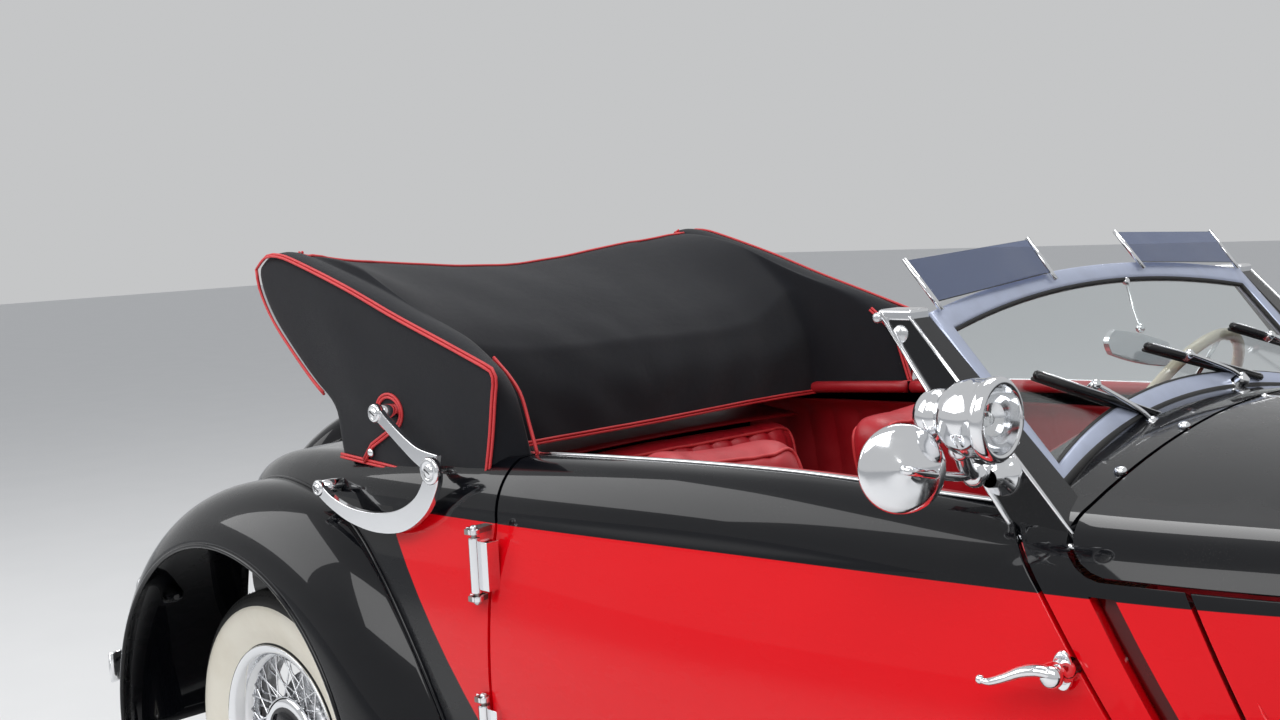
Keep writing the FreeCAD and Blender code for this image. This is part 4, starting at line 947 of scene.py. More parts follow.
HUB = [(18.2, 18), (18.2, -73), (140, -73), (148, -65), (148, -38), (146, -36), (74, -36), (58, -28), (56, 0),
       (60, 14), (78, 18), (82, 22), (82, 26), (60, 28), (18.2, 28), (18.2, 18)]
CAP_EDGE = [(0, 26.5), (104, 26.5), (105, 28), (105, 34), (103, 38), (97, 41.5), (90, 42.5), (84, 42), (82, 41)]
CAP_DOME = [(82, 41), (70, 45.5), (50, 50), (26, 53), (8, 54), (0, 54)]
SPOKES = 36
# outward place and radius at the hub, outward place and radius at the rim, swing round the hub
SPOKE_RINGS = ((20, 79, 16, 200, 0.72), (-30, 72, -14, 200, 0.55))


def wheel_turned(bm, profile, x, side, steps):
    """Adds a turned form about a wheel's axis, from (radius, outward) points in mm."""
    lathe([(r / 1000, h / 1000) for r, h in profile], mm(x, side * WHEEL_Y, TYRE_R), (0, side, 0), steps, bm)


def paint_rings(bm, x, side, second):
    """Gives a face the second finish where second(radius, outward), in metres, says so."""
    centre = mm(x, side * WHEEL_Y, TYRE_R)
    for face in bm.faces:
        middle = face.calc_center_median() - centre
        face.material_index = int(second(math.hypot(middle.x, middle.z), side * middle.y))


def make_tyre(name, x, side):
    bm = bmesh.new()
    half = TYRE_WALL + TYRE_TREAD
    wheel_turned(bm, half + [(r, -w) for r, w in reversed(half)] + [half[0]], x, side, 96)
    bmesh.ops.remove_doubles(bm, verts=bm.verts, dist=1e-5)
    paint_rings(bm, x, side, lambda r, out: out > 0.02 and WALL_RING[0] < r * 1000 < WALL_RING[1])
    finished("tyre_" + name + "_dressed", bm, "wheel_" + name, [tread_rubber, wall_rubber], ["tyre_" + name], "tyre")
    blocks = bmesh.new()
    for k in range(SHOULDER_BLOCKS):
        turn = 2 * math.pi * k / SHOULDER_BLOCKS
        for way in (-1, 1):
            made = bmesh.ops.create_cube(blocks, size=1.0)["verts"]
            spot = (0, way * SHOULDER_Y, SHOULDER_R)
            bmesh.ops.scale(blocks, vec=BLOCK_SIZE, verts=made)
            bmesh.ops.rotate(blocks, verts=made, matrix=Matrix.Rotation(way * BLOCK_SKEW, 3, "Z"))
            bmesh.ops.translate(blocks, vec=spot, verts=made)
            bmesh.ops.rotate(blocks, verts=made, matrix=Matrix.Rotation(-way * BLOCK_SLOPE, 3, "X"), cent=spot)
            bmesh.ops.rotate(blocks, verts=made, matrix=Matrix.Rotation(turn, 3, "Y"))
    bmesh.ops.translate(blocks, vec=mm(x, side * WHEEL_Y, TYRE_R), verts=blocks.verts)
    finished("tread_blocks_" + name, blocks, "wheel_" + name, tread_rubber, slot="tyre", smooth=False)


def make_wire_wheel(name, x, side):
    """Rim, hub, domed cap and two rings of crossed spokes with their nipples."""
    body = "wheel_" + name
    rim, hub, cap, spokes, nipples = blanks(5)
    wheel_turned(rim, RIM, x, side, 96)
    finished("rim_" + name, rim, body, chrome, [body], "wheel_metal")
    wheel_turned(hub, HUB, x, side, 64)
    finished("hub_" + name, hub, body, dull_plate, slot="wheel_metal")
    wheel_turned(cap, CAP_EDGE, x, side, 64)
    wheel_turned(cap, CAP_DOME, x, side, 64)
    bmesh.ops.remove_doubles(cap, verts=cap.verts, dist=1e-5)
    paint_rings(cap, x, side, lambda r, out: r < 0.082 and out > 0.035)
    finished("wheel_cap_" + name, cap, body, [chrome, black_paint], slot="chrome")
    for i in range(SPOKES):
        turn = 2 * math.pi * i / SPOKES
        hand = 1 if i % 2 else -1
        for w_hub, r_hub, w_rim, r_rim, swing in SPOKE_RINGS:
            start, end = (mm(x + r * math.cos(a), side * (WHEEL_Y + w), TYRE_R + r * math.sin(a))
                          for a, w, r in ((turn + hand * swing, w_hub, r_hub), (turn, w_rim, r_rim)))
            bar(spokes, start, end, 0.0021, sides=6, caps=False)
            bar(nipples, end, end + (start - end).normalized() * 0.016, 0.0038, 0.003, sides=6)
    finished("spokes_" + name, spokes, body, chrome, slot="wheel_metal")
    finished("spoke_nipples_" + name, nipples, body, dull_plate, slot="wheel_metal", smooth=False)


for name, (wheel_x, side) in WHEELS.items():
    make_tyre(name, wheel_x, side)
    make_wire_wheel(name, wheel_x, side)


# Nose
RADIATOR_REAR, RADIATOR_FRONT = 3209, 3330
# ahead of the rear axle and grow, round the shell's section
SHELL = ((RADIATOR_REAR, 0), (RADIATOR_FRONT - 26, 0), (RADIATOR_FRONT - 11, -2), (RADIATOR_FRONT - 3, -7),
         (RADIATOR_FRONT, -15), (RADIATOR_FRONT - 3, -24), (RADIATOR_FRONT - 14, -30), (RADIATOR_REAR, -30))
SLAT_PITCH, SLAT_FOOT, SLAT_HALF = 540 / 23, 462.3, 3
LAMP_X, LAMP_Y, LAMP_Z = 3290, 440, 885
BUMPER_HALF = 780
# inward from the blade's face, height
BUMPER_SECTION = [(0, 431), (1, 450), (4, 462), (8, 469), (12, 470), (14, 466), (14, 396), (12, 392), (8, 393),
                  (4, 400), (1, 412)]
IRON_Y, IRON_HALF = 352, 22
TAIL_LAMP = (-550, 700, 640)
BOARD_REAR, BOARD_FRONT, BOARD_IN, BOARD_OUT, BOARD_Z = 800, 2085, 662, 838, 318


def loop_edges(bm, points):
    ring = [bm.verts.new(p) for p in points]
    return [bm.edges.new((ring[k], ring[(k + 1) % len(ring)])) for k in range(len(ring))]


def bridged(bm, loops, closed=True):
    """Joins closed rings of points one after another; closed also joins the last to the first."""
    rings = [loop_edges(bm, points) for points in loops]
    for a, b in zip(rings, rings[1:] + (rings[:1] if closed else [])):
        bmesh.ops.bridge_loops(bm, edges=a + b)
    return bm


def capped(bm, loops):
    """A solid form from rings of points, closed by a face at each end."""
    bridged(bm, loops, False)
    bmesh.ops.holes_fill(bm, edges=[e for e in bm.edges if e.is_boundary])
    return bm


def radiator_ring(x, grow):
    """The radiator's outline as a ring of points at x, drawn in or out by grow."""
    low, bottom = 205 + grow, 430.3 - grow
    wide, shoulder = 326 + grow, 1008
    top_w, top_h, crown = 243 + grow, 1074 + grow, 1127 + grow
    half = [on_arc((low, bottom), (wide - 8, 760), (wide, shoulder), k / 14) for k in range(14)]
    half += [on_arc((wide, shoulder), ((wide + top_w) / 2 + 8, 1048 + grow), (top_w, top_h), k / 6) for k in range(6)]
    half += [on_arc((top_w, top_h), (0, crown), (-top_w, top_h), k / 16) for k in range(9)]
    return [mm(x, y, z) for y, z in half] + [mm(x, -y, z) for y, z in reversed(half[:-1])]


def make_radiator():
    bright("radiator_shell_dressed", bridged(bmesh.new(), [radiator_ring(x, grow) for x, grow in SHELL]),
           replaces=["radiator_shell"])
    core = capped(bmesh.new(), [radiator_ring(RADIATOR_REAR + depth, -30.4) for depth in (10, 58)])
    finished("radiator_core", core, "car", dark_plastic, ["grille"], "iron", smooth=False)
    outline = [(abs(p.y) * 1000, p.z * 1000) for p in radiator_ring(RADIATOR_FRONT, -32)]
    slats = bmesh.new()
    for i in range(-11, 12):
        y = i * SLAT_PITCH
        high = max(z for w, z in outline if w >= abs(y) - 6)
        beside = [z for w, z in outline if w < abs(y) and z < 1000]
        low = max([SLAT_FOOT] + [z + 8 for z in beside])
        slab(slats, (RADIATOR_REAR + 56, RADIATOR_FRONT - 15), (y - SLAT_HALF, y + SLAT_HALF), (low, high - 3))
    soften(bright("grille_slats", slats, smooth=False), 0.0018)
    bright("radiator_cap", lathe([(0, -0.02), (0.03, -0.02), (0.03, 0.004), (0.024, 0.008), (0.024, 0.014),
                                  (0.031, 0.016), (0.031, 0.026), (0.022, 0.032), (0, 0.034)],
                                 mm(3262, 0, 1124), (0, 0, 1), 32))


make_radiator()


def make_headlamps():
    bowl, lens, rim, post = blanks(4)
    for side in (-1, 1):
        at = mm(LAMP_X, side * LAMP_Y, LAMP_Z)
        lathe([(0, 0), (0.02, 0.001), (0.045, 0.011), (0.068, 0.03), (0.088, 0.06), (0.102, 0.1), (0.109, 0.14),
               (0.112, 0.16), (0.112, 0.19), (0.104, 0.19), (0.1, 0.13), (0.07, 0.07), (0, 0.055)],
              at, (1, 0, 0), 64, bowl)
        lathe([(0.112, 0.17), (0.116, 0.172), (0.117, 0.182), (0.114, 0.192), (0.106, 0.195), (0.101, 0.192)],
              at, (1, 0, 0), 64, rim)
        lathe([(0.104, 0.188), (0.08, 0.197), (0.05, 0.203), (0.02, 0.205), (0, 0.205)], at, (1, 0, 0), 48, lens)
        bar(post, mm(3372, side * (LAMP_Y + 9), 590), mm(3390, side * LAMP_Y, 800), 0.03, 0.016, 24)
        knob(post, mm(3391, side * LAMP_Y, 786), 0.024)
    bright("headlamp_bowls", bowl, replaces=["headlamps"])
    bright("headlamp_rims", rim)
    finished("headlamp_lenses", lens, "car", lamp_glass, slot="glass")
    bright("headlamp_posts", post)


make_headlamps()


def bumper_face(tip, ends, y):
    """How far ahead the blade's bowed face lies at a distance y from the middle."""
    return on_arc((ends, -BUMPER_HALF), (tip, 0), (ends, BUMPER_HALF), (y + BUMPER_HALF) / (2 * BUMPER_HALF))[0]


def make_bumper(name, tip, ends, rail_end):
    inward = -1 if tip > 0 else 1
    count = 48
    rings = []
    for k in range(count + 1):
        y = -BUMPER_HALF + 2 * BUMPER_HALF * k / count
        rings.append([mm(bumper_face(tip, ends, y) + inward * depth, y, z) for depth, z in BUMPER_SECTION])
    bright("bumper_blade_" + name, capped(bmesh.new(), rings), replaces=["bumper_" + name])
    irons, bolts = blanks(2)
    reach = bumper_face(tip, ends, IRON_Y) + 13 * inward
    for side in (-1, 1):
        y = side * IRON_Y
        slab(irons, sorted((rail_end, reach)), (y - IRON_HALF, y + IRON_HALF), (408, 436))
        lathe([(0, 0.0), (0.013, 0.0), (0.013, 0.004), (0.008, 0.009), (0, 0.01)],
              mm(reach - 13 * inward + inward * 1.5, y, 431), (-inward, 0, 0), 24, bolts)
    soften(finished("bumper_irons_" + name, irons, "car", chassis_paint, slot="frame_paint", smooth=False), 0.003)
    bright("bumper_bolts_" + name, bolts)


make_bumper("front", 3800, 3650, 3330.3)
make_bumper("rear", -800, -690, -560.3)


def make_tail_lamps():
    bowl, rim, lens = blanks(3)
    x, y, z = TAIL_LAMP
    for side in (-1, 1):
        for bm, profile in (
                (bowl, [(0.036, 0.03), (0.037, 0.012), (0.036, -0.01), (0.033, -0.035), (0.027, -0.07), (0.018, -0.1),
                        (0.008, -0.118), (0, -0.12)]),
                (rim, [(0.036, 0.028), (0.039, 0.03), (0.039, 0.038), (0.034, 0.041), (0.031, 0.039)]),
                (lens, [(0.033, 0.036), (0.028, 0.044), (0.016, 0.05), (0, 0.052)])):
            lathe(profile, mm(x, side * y, z), (-1, 0, 0), 40, bm)
    finished("tail_lamp_bowls", bowl, "car", black_paint, ["tail_lamps"], "black_paint")
    bright("tail_lamp_rims", rim)
    finished("tail_lamp_lenses", lens, "car", lamp_red, slot="tinted_glass")


make_tail_lamps()


def make_running_boards():
    boards, ribs, trims = blanks(3)
    for side in (-1, 1):
        slab(boards, (BOARD_REAR, BOARD_FRONT), (side * BOARD_IN, side * BOARD_OUT), (BOARD_Z, BOARD_Z + 26))
        slab(boards, (BOARD_REAR, BOARD_FRONT), (side * BOARD_IN, side * (BOARD_IN + 8)), (BOARD_Z + 22, 417))
        for k in range(11):
            y = side * (684 + 13.5 * k)
            slab(ribs, (BOARD_REAR + 12, BOARD_FRONT - 13), (y - 4.2, y + 4.2), (BOARD_Z + 25, BOARD_Z + 29.5))
        slab(trims, (BOARD_REAR + 2, BOARD_FRONT - 2), (side * (BOARD_OUT - 4), side * (BOARD_OUT + 3)),
             (BOARD_Z + 8, BOARD_Z + 29))
    soften(finished("running_boards_dressed", boards, "car", black_paint, ["running_boards"], "black_paint",
                    smooth=False), 0.004)
    soften(finished("running_board_ribs", ribs, "car", mat_rubber, slot="rubber", smooth=False), 0.0015)
    soften(bright("running_board_trims", trims, smooth=False), 0.002)


make_running_boards()


# Windscreen: its own leaning plane, with places given across, up the slope and proud of the plane (to the front)
SCREEN_LEAN = math.radians(41)
SCREEN_HALF = 553.0
VISOR_FOOT, VISOR_LEAN = (1680, 1361), 0.78
# across, height
VISOR_CORNERS = [(160, 1386), (530, 1364), (536, 1427), (156, 1442)]
VISOR_EDGES = (((160, 1374), (156, 1444)), ((530, 1352), (536, 1429)))
# inset and height over the plane, round the band's section
SCREEN_BAND = ((0, -11), (0, 7), (1.5, 10), (4, 11), (29, 11), (32, 9.5), (34, 6), (34, -6), (31, -11))


def on_screen(across, up, proud=0.0):
    c, s = math.cos(SCREEN_LEAN), math.sin(SCREEN_LEAN)
    return mm(1882 - up * s + proud * c, across, 1101 + up * c + proud * s)


def screen_ring(inset, proud, steps=30):
    half, low, high = SCREEN_HALF - inset, inset, 322 - inset
    foot = [on_arc((-half, low), (0, 84 + inset), (half, low), k / steps) for k in range(steps + 1)]
    head = [on_arc((half, high), (0, 374 - inset), (-half, high), k / steps) for k in range(steps + 1)]
    side = [low + (high - low) * k / 8 for k in range(1, 8)]
    ring = foot + [(half, up) for up in side] + head + [(-half, up) for up in reversed(side)]
    return [on_screen(a, up, proud) for a, up in ring]


def make_screen():
    band = bridged(bmesh.new(), [screen_ring(inset, proud) for inset, proud in SCREEN_BAND])
    finished("windscreen_band", band, "car", screen_band_with_painted_sky_blue, ["windscreen_frame"], "chrome")
    seal, foot_seal = blanks(2)
    for proud in (3.4, -3.4):
        tube(seal, screen_ring(34.5, proud, 24), 0.0042, 6, closed=True)
    finished("windscreen_seal", seal, "car", mat_rubber, slot="rubber")
    foot = [on_arc((-560, 0), (0, 84), (560, 0), k / 40) for k in range(41)]
    tube(foot_seal, [on_screen(across, up - 3, 2) for across, up in foot], 0.008, 8, flat=1.5)
    finished("windscreen_foot_seal", foot_seal, "car", mat_rubber, slot="rubber")


def post(bm, low, low_size, high, high_size):
    """A leaning post: middle of its foot and head, with their sizes along and across the car."""
    half = Vector((low_size[0] / 2, low_size[1] / 2, 0))
    for vert in block(bm, low - half, Vector((low.x + half.x, low.y + half.y, high.z))):
        if vert.co.z > high.z - 1e-6:
            front, outer = vert.co.x > low.x, vert.co.y > low.y
            vert.co.x = high.x + high_size[0] * (0.5 if front else -0.5)
            vert.co.y = high.y + high_size[1] * (0.5 if outer else -0.5)


def make_pillars():
    posts, strips, heads, knobs = blanks(4)
    for side in (-1, 1):
        post(posts, mm(1918, side * 596.2, 1046), (0.092, 0.0856), mm(1652, side * 579.2, 1352), (0.044, 0.0516))
        foot_rear, head_rear = mm(1872, side * 637, 1046), mm(1630, side * 603.5, 1352)
        foot_front = mm(1966, side * 637, 1044)
        tube(strips, [head_rear, foot_rear], 0.0085, 8, flat=0.55)
        tube(strips, [foot_rear, foot_front], 0.005, 8)
        tube(strips, [mm(1675, side * 604, 1350), foot_front], 0.003, 6)
        slab(heads, (1622, 1682), (side * 556, side * 607), (1340, 1358))
        lathe([(0, -0.004), (0.014, -0.004), (0.014, 0.006), (0.012, 0.009), (0, 0.01)],
              mm(1664, side * 602, 1322), (0, side, 0), 24, knobs)
        lathe([(0, 0), (0.008, 0), (0.008, 0.006), (0.005, 0.009), (0, 0.009)], mm(1626, side * 607, 1346),
              (0, side, 0), 20, knobs)
    soften(finished("screen_pillars", posts, "car", black_paint, slot="black_paint", smooth=False), 0.004)
    bright("pillar_strips", strips)
    soften(bright("pillar_heads", heads, smooth=False), 0.005)
    finished("pillar_knobs", knobs, "car", dull_plate, slot="chrome")


def make_visors():
    panes, edges = blanks(2)
    for side in (-1, 1):
        def at(y, z, proud=0.0):
            return mm(VISOR_FOOT[0] - (z - VISOR_FOOT[1]) * VISOR_LEAN + proud, side * y, z)
        capped(panes, [[at(y, z, proud) for y, z in VISOR_CORNERS] for proud in (0, -4)])
        for foot, head in VISOR_EDGES:
            tube(edges, [at(*foot, -2), at(*head, -2)], 0.0052, 8, flat=0.8)
    finished("visor_panes", panes, "car", visor_glass, ["sun_visors"], "tinted_glass", smooth=False)
    bright("visor_edges", edges)


# pivot, joint on the blade, blade's lower and upper end, each across, ahead and height
WIPERS = [((-233, 1852, 1136), (-303, 1793, 1203), (-152, 1853, 1135), (-419, 1765, 1236)),
          ((158, 1829, 1162), (49, 1783, 1215), (247, 1830, 1161), (-43, 1759, 1243)),
          ((500, 1840, 1150), (400, 1782, 1216), (548, 1812, 1180), (311, 1755, 1247))]


def make_wipers():
    arms, blades, edges = blanks(3)
    out = Vector((math.cos(SCREEN_LEAN), 0, math.sin(SCREEN_LEAN)))
    for places in WIPERS:
        pivot, joint, low, high = (mm(x, y, z) for y, x, z in places)
        lathe([(0, -0.004), (0.017, -0.004), (0.018, 0.004), (0.014, 0.01), (0.012, 0.022), (0.014, 0.026),
               (0.009, 0.033), (0, 0.034)], pivot, out, 24, arms)
        tube(arms, curve_through([pivot + out * 0.026, pivot.lerp(joint, 0.3) + out * 0.032,
                                  joint + out * 0.026], 6), 0.0028, 8, flat=1.3)
        lathe([(0, 0.012), (0.008, 0.012), (0.008, 0.028), (0.005, 0.032), (0, 0.032)], joint, out, 16, arms)
        tube(blades, [low + out * 0.015, high + out * 0.015], 0.0085, 8, flat=0.8)
        tube(edges, [low + out * 0.005, high + out * 0.005], 0.0035, 6)
        tube(arms, [low.lerp(high, share) + out * 0.023 for share in (0.02, 0.98)], 0.0016, 6)
    bright("wiper_arms", arms)
    finished("wiper_blades", blades, "car", dark_plastic, slot="rubber")
    finished("wiper_rubbers", edges, "car", mat_rubber, slot="rubber")


def make_rear_view_mirror():
    metal, face = blanks(2)
    tube(metal, curve_through([mm(1662, 96, 1352), mm(1676, 90, 1310), mm(1700, 70, 1272)], 8), 0.003, 8)
    knob(metal, mm(1700, 70, 1270), 0.0085)
    knob(metal, mm(1662, 96, 1354), 0.009)
    turn = Matrix.Translation(mm(1704, 52, 1236)) @ Matrix.Rotation(-0.24, 4, "X") @ Matrix.Rotation(-0.2, 4, "Z")
    # the back and the glass, each from a squared circle: rear and front face, half width and half height
    for bm, x0, x1, half, high in ((metal, -0.006, 0.006, 0.088, 0.026), (face, -0.0068, -0.006, 0.084, 0.022)):
        made = bmesh.ops.create_circle(bm, cap_ends=True, segments=40, radius=1.0)["verts"]
        for vert in made:
            x, y = vert.co.x, vert.co.y
            squared = max(max(abs(x), abs(y)) ** 0.5, 0.2)
            vert.co = Vector((x0, half * x / squared, high * y / squared))
        extruded = bmesh.ops.extrude_face_region(bm, geom=[f for f in bm.faces if all(v in made for v in f.verts)])
        top = [g for g in extruded["geom"] if isinstance(g, bmesh.types.BMVert)]
        bmesh.ops.translate(bm, vec=(x1 - x0, 0, 0), verts=top)
        bmesh.ops.transform(bm, matrix=turn, verts=list(made) + top)
    soften(bright("rear_view_mirror", metal), 0.003)
    finished("rear_view_mirror_face", face, "car", mirror_face, slot="chrome", smooth=False)


make_screen()
make_pillars()
make_visors()
make_wipers()
make_rear_view_mirror()


# Spot lamp and mirror on the right pillar
SPOT_AT, SPOT_HUB = (1790, -770, 1232), (1835, -690, 1140)
SIDE_MIRROR_AT, SIDE_MIRROR_FACING = (1822, -838, 1170), (0.78, -0.62, 0.08)


def make_spot_lamp():
    metal, lens, mirror = blanks(3)
    forward, at, hub, mirror_at = (1, 0, 0), mm(*SPOT_AT), mm(*SPOT_HUB), mm(*SIDE_MIRROR_AT)
    lathe([(0, 0.012), (0.012, 0.013), (0.024, 0.018), (0.032, 0.027), (0.036, 0.04), (0.036, 0.05), (0.032, 0.054),
           (0.033, 0.058), (0.042, 0.066), (0.049, 0.08), (0.0525, 0.1), (0.0525, 0.12), (0.055, 0.122),
           (0.056, 0.128), (0.0555, 0.135), (0.051, 0.14), (0.046, 0.14), (0.044, 0.136), (0.04, 0.11),
           (0.02, 0.09), (0, 0.086)], at, forward, 64, metal)
    lathe([(0.047, 0.137), (0.035, 0.141), (0.018, 0.1435), (0, 0.144)], at, forward, 48, lens)
    tube(metal, curve_through([hub, mm(1846, -728, 1158), mm(1860, -762, 1186)], 6), 0.011, 12)
    knob(metal, mm(1860, -764, 1188), 0.0155)
    knob(metal, hub, 0.0175)
    tube(metal, [hub, mm(1835, -629, 1140)], 0.0115, 12)
    lathe([(0, 0), (0.03, 0), (0.032, 0.004), (0.028, 0.012), (0.016, 0.02), (0.013, 0.04)], mm(1842, -627, 1132),
          (0, -1, 0), 32, metal)
    facing = Vector(SIDE_MIRROR_FACING).normalized()
    tube(metal, curve_through([hub, mm(1846, -760, 1150), mirror_at + facing * 0.03, mirror_at + facing * 0.006], 6),
         0.0062, 12)
    bright("spot_lamp_metal", metal, replaces=["spot_lamp"])
    finished("spot_lamp_lens", lens, "car", lamp_glass, slot="glass")
    bulb = lathe([(0, 0.088), (0.006, 0.09), (0.009, 0.098), (0.006, 0.106), (0, 0.108)], at, forward, 20)
    finished("spot_lamp_bulb", bulb, "car", lamp_glass, slot="glass")
    lathe([(0, 0.012), (0.009, 0.0125), (0.013, 0.0105), (0.03, 0.0075), (0.05, 0.002), (0.0575, -0.002),
           (0.0595, -0.006), (0.0575, -0.009), (0.056, -0.0085)], mirror_at, facing, 64, mirror)
    lathe([(0.056, -0.0085), (0, -0.0085)], mirror_at, facing, 64, mirror)
    bright("side_mirror", mirror)


make_spot_lamp()


# Hood cover: one cloth of side panels, board tops, the roof over the stack and the rear slope.
# Lines of one side in (ahead, height), from the rear corner to the front hem
HOOD_Y, HOOD_IN, HOOD_SEAM = 684.0, 612.0, 600.0
HOOD_REAR = [(300, 1043), (290, 1096), (280, 1149), (211, 1199), (140, 1258), (68, 1326), (24, 1392), (14, 1440)]
HOOD_TOP = [(14, 1440), (52, 1464), (99, 1467), (165, 1453), (347, 1398), (514, 1340), (669, 1290), (806, 1245)]
HOOD_FRONT = [(806, 1245), (815, 1227), (808, 1190), (794, 1114), (775, 1037)]
HOOD_HEM = [(300, 1043), (387, 1037), (507, 1029), (605, 1023), (729, 1019), (775, 1037)]
HOOD_SNAPS = ((413, 1061), (726, 1036), (600, 1040))
# distance from the middle, place of the nose corner in the list, line from the rear top edge to the front hem
HOOD_LINES = [(HOOD_IN, 6, [(20, 1440), (54, 1464), (99, 1467), (347, 1398), (514, 1341), (669, 1290), (762, 1228),
                            (798, 1190), (820, 1130), (838, 1076)]),
              (HOOD_SEAM, 5, [(24, 1430), (62, 1456), (120, 1462), (225, 1450), (330, 1415), (478, 1308), (539, 1201),
                              (550, 1120), (548, 1039)]),
              (400, 5, [(20, 1412), (50, 1430), (110, 1436), (300, 1362), (430, 1296), (500, 1240), (538, 1150),
                        (545, 1042)]),
              (0, 5, [(15, 1385), (45, 1402), (100, 1407), (290, 1349), (420, 1284), (500, 1232), (540, 1150),
                      (545, 1040)])]
# faces along the top, down to the front hem, up the side panels, across the board tops, seams and half the roof
HOOD_ALONG, HOOD_DOWN, HOOD_HEIGHT = 34, 14, 16
HOOD_BOARD, HOOD_FILLET, HOOD_ROOF = 4, 5, 26


def evenly(points, count):
    """Evenly spaced points on a smooth line through the given ones."""
    line = curve_through([(x, 0, z) for x, z in points], 14)
    lengths = [0.0]
    for a, b in zip(line, line[1:]):
        lengths.append(lengths[-1] + (b - a).length)
    out, k = [], 0
    for i in range(count + 1):
        want = lengths[-1] * i / count
        while k < len(line) - 2 and lengths[k + 1] < want:
            k += 1
        t = (want - lengths[k]) / max(lengths[k + 1] - lengths[k], 1e-9)
        p = line[k].lerp(line[k + 1], min(max(t, 0.0), 1.0))
        out.append((p.x, p.z))
    return out


def hood_line(index):
    _, corner, points = HOOD_LINES[index]
    return evenly(points[:corner + 1], HOOD_ALONG) + evenly(points[corner:], HOOD_DOWN)[1:]


def folds(x, y, z):
    """Soft creases of cloth that hangs from an edge, in mm."""
    return (2.6 * math.sin(y / 47 + z / 120) * math.sin(y / 83 + 1.1) + 1.7 * math.sin(x / 31 + z / 53)
            + 1.1 * math.sin(z / 19 + y / 37))


def between(a, b, share):
    return tuple(p + (q - p) * share for p, q in zip(a, b))


def hood_side(top, front, rear, hem):
    """The side panel, hung between its four lines."""
    rows = []
    for j in range(HOOD_HEIGHT + 1):
        v = j / HOOD_HEIGHT
        fore = front[HOOD_HEIGHT - j]
        row = []
        for i in range(HOOD_ALONG + 1):
            u = i / HOOD_ALONG
            x, z = ((1 - v) * hem[i][k] + v * top[i][k] + (1 - u) * rear[j][k] + u * fore[k]
                    - ((1 - u) * (1 - v) * hem[0][k] + u * (1 - v) * hem[-1][k] + (1 - u) * v * top[0][k]
                       + u * v * top[-1][k]) for k in (0, 1))
            free = min(1.0, 5 * u * (1 - u)) * (1 - v ** 3)
            bulge = 5 * math.sin(math.pi * min(v * 1.2, 1.0)) + 0.75 * folds(x * 0.8, x, z)
            row.append((x, -HOOD_Y - 1.5 * free - bulge * free * 0.8, z))
        rows.append(row)
    return rows


def hood_places():
    """The cover's rows of places, one list for each patch of the right half."""
    top, front = evenly(HOOD_TOP, HOOD_ALONG), evenly(HOOD_FRONT, HOOD_HEIGHT)
    rear, hem = evenly(HOOD_REAR, HOOD_HEIGHT), evenly(HOOD_HEM, HOOD_ALONG)
    outer = top + evenly(HOOD_FRONT, HOOD_DOWN)[1:]
    lines = [hood_line(k) for k in range(len(HOOD_LINES))]

    boards = []
    for k in range(HOOD_BOARD + 1):
        t = k / HOOD_BOARD
        row = []
        for i, (a, b) in enumerate(zip(outer, lines[0])):
            n0, n1 = outer[max(i - 1, 0)], outer[min(i + 1, len(outer) - 1)]
            way = Vector((-(n1[1] - n0[1]), n1[0] - n0[0])).normalized() * (7 * math.sin(math.pi * t))
            x, z = between(a, b, t)
            row.append((x + way.x, -HOOD_Y + (HOOD_Y - HOOD_IN) * t, z + way.y))
        boards.append(row)

    inner = []
    for k in range(HOOD_FILLET + 1):
        t = k / HOOD_FILLET
        spots = [between(a, b, t) for a, b in zip(lines[0], lines[1])]
        inner.append([(x, -HOOD_IN + (HOOD_IN - HOOD_SEAM) * t, z) for x, z in spots])

    roof = []
    front_from = HOOD_ALONG * 0.75
    for k in range(HOOD_ROOF + 1):
        y = -HOOD_SEAM * (1 - k / HOOD_ROOF)
        row = []
        for i in range(len(outer)):
            x, z = knots([(-HOOD_SEAM,) + lines[1][i], (-400,) + lines[2][i], (0,) + lines[3][i],
                          (400,) + lines[2][i]], y)
            down = max(0.0, (i - front_from) / (len(outer) - front_from))
            held = min(1.0, (y + HOOD_SEAM) / 70) * min(1.0, i / 4)
            wave = folds(x, y * 1.15, z) * (0.45 + 1.5 * down) * held
            row.append((x + wave * (0.25 + 0.75 * down), y, z + wave * (0.8 - 0.6 * down)))
        roof.append(row)

    tail = []
    for x, y, z in [row[0] for row in boards + inner[1:] + roof[1:]]:
        row = []
        for j, (bx, bz) in enumerate(rear):
            v = j / HOOD_HEIGHT
            reach = v ** 1.6
            wave = folds(bx * 1.3, y, bz * 0.8) * min(1.0, (HOOD_Y + y) / 60) * (1 - v ** 4)
            row.append((bx + (x - rear[-1][0]) * reach - wave * 0.8, y,
                        bz + (z - rear[-1][1]) * reach + wave * 0.2))
        tail.append(row)
    return hood_side(top, front, rear, hem), boards, inner, roof, tail


def woven(bm, rows):
    """Faces between rows of places."""
    corners = [[bm.verts.new(mm(*p)) for p in row] for row in rows]
    for a, b in zip(corners, corners[1:]):
        for k in range(len(a) - 1):
            bm.faces.new((a[k], a[k + 1], b[k + 1], b[k]))


def settle(x, y, z):
    """The far side of the roof lies a little higher at the back and lower at its front edge."""
    if abs(y) < HOOD_SEAM and z > 1150:
        slope = 0.013 - 0.033 * min(max((x - 100) / 380, 0.0), 1.0)
        z += slope * y * (1 - (abs(y) / HOOD_SEAM) ** 4) * min(1.0, (z - 1150) / 60)
    return x, y, z


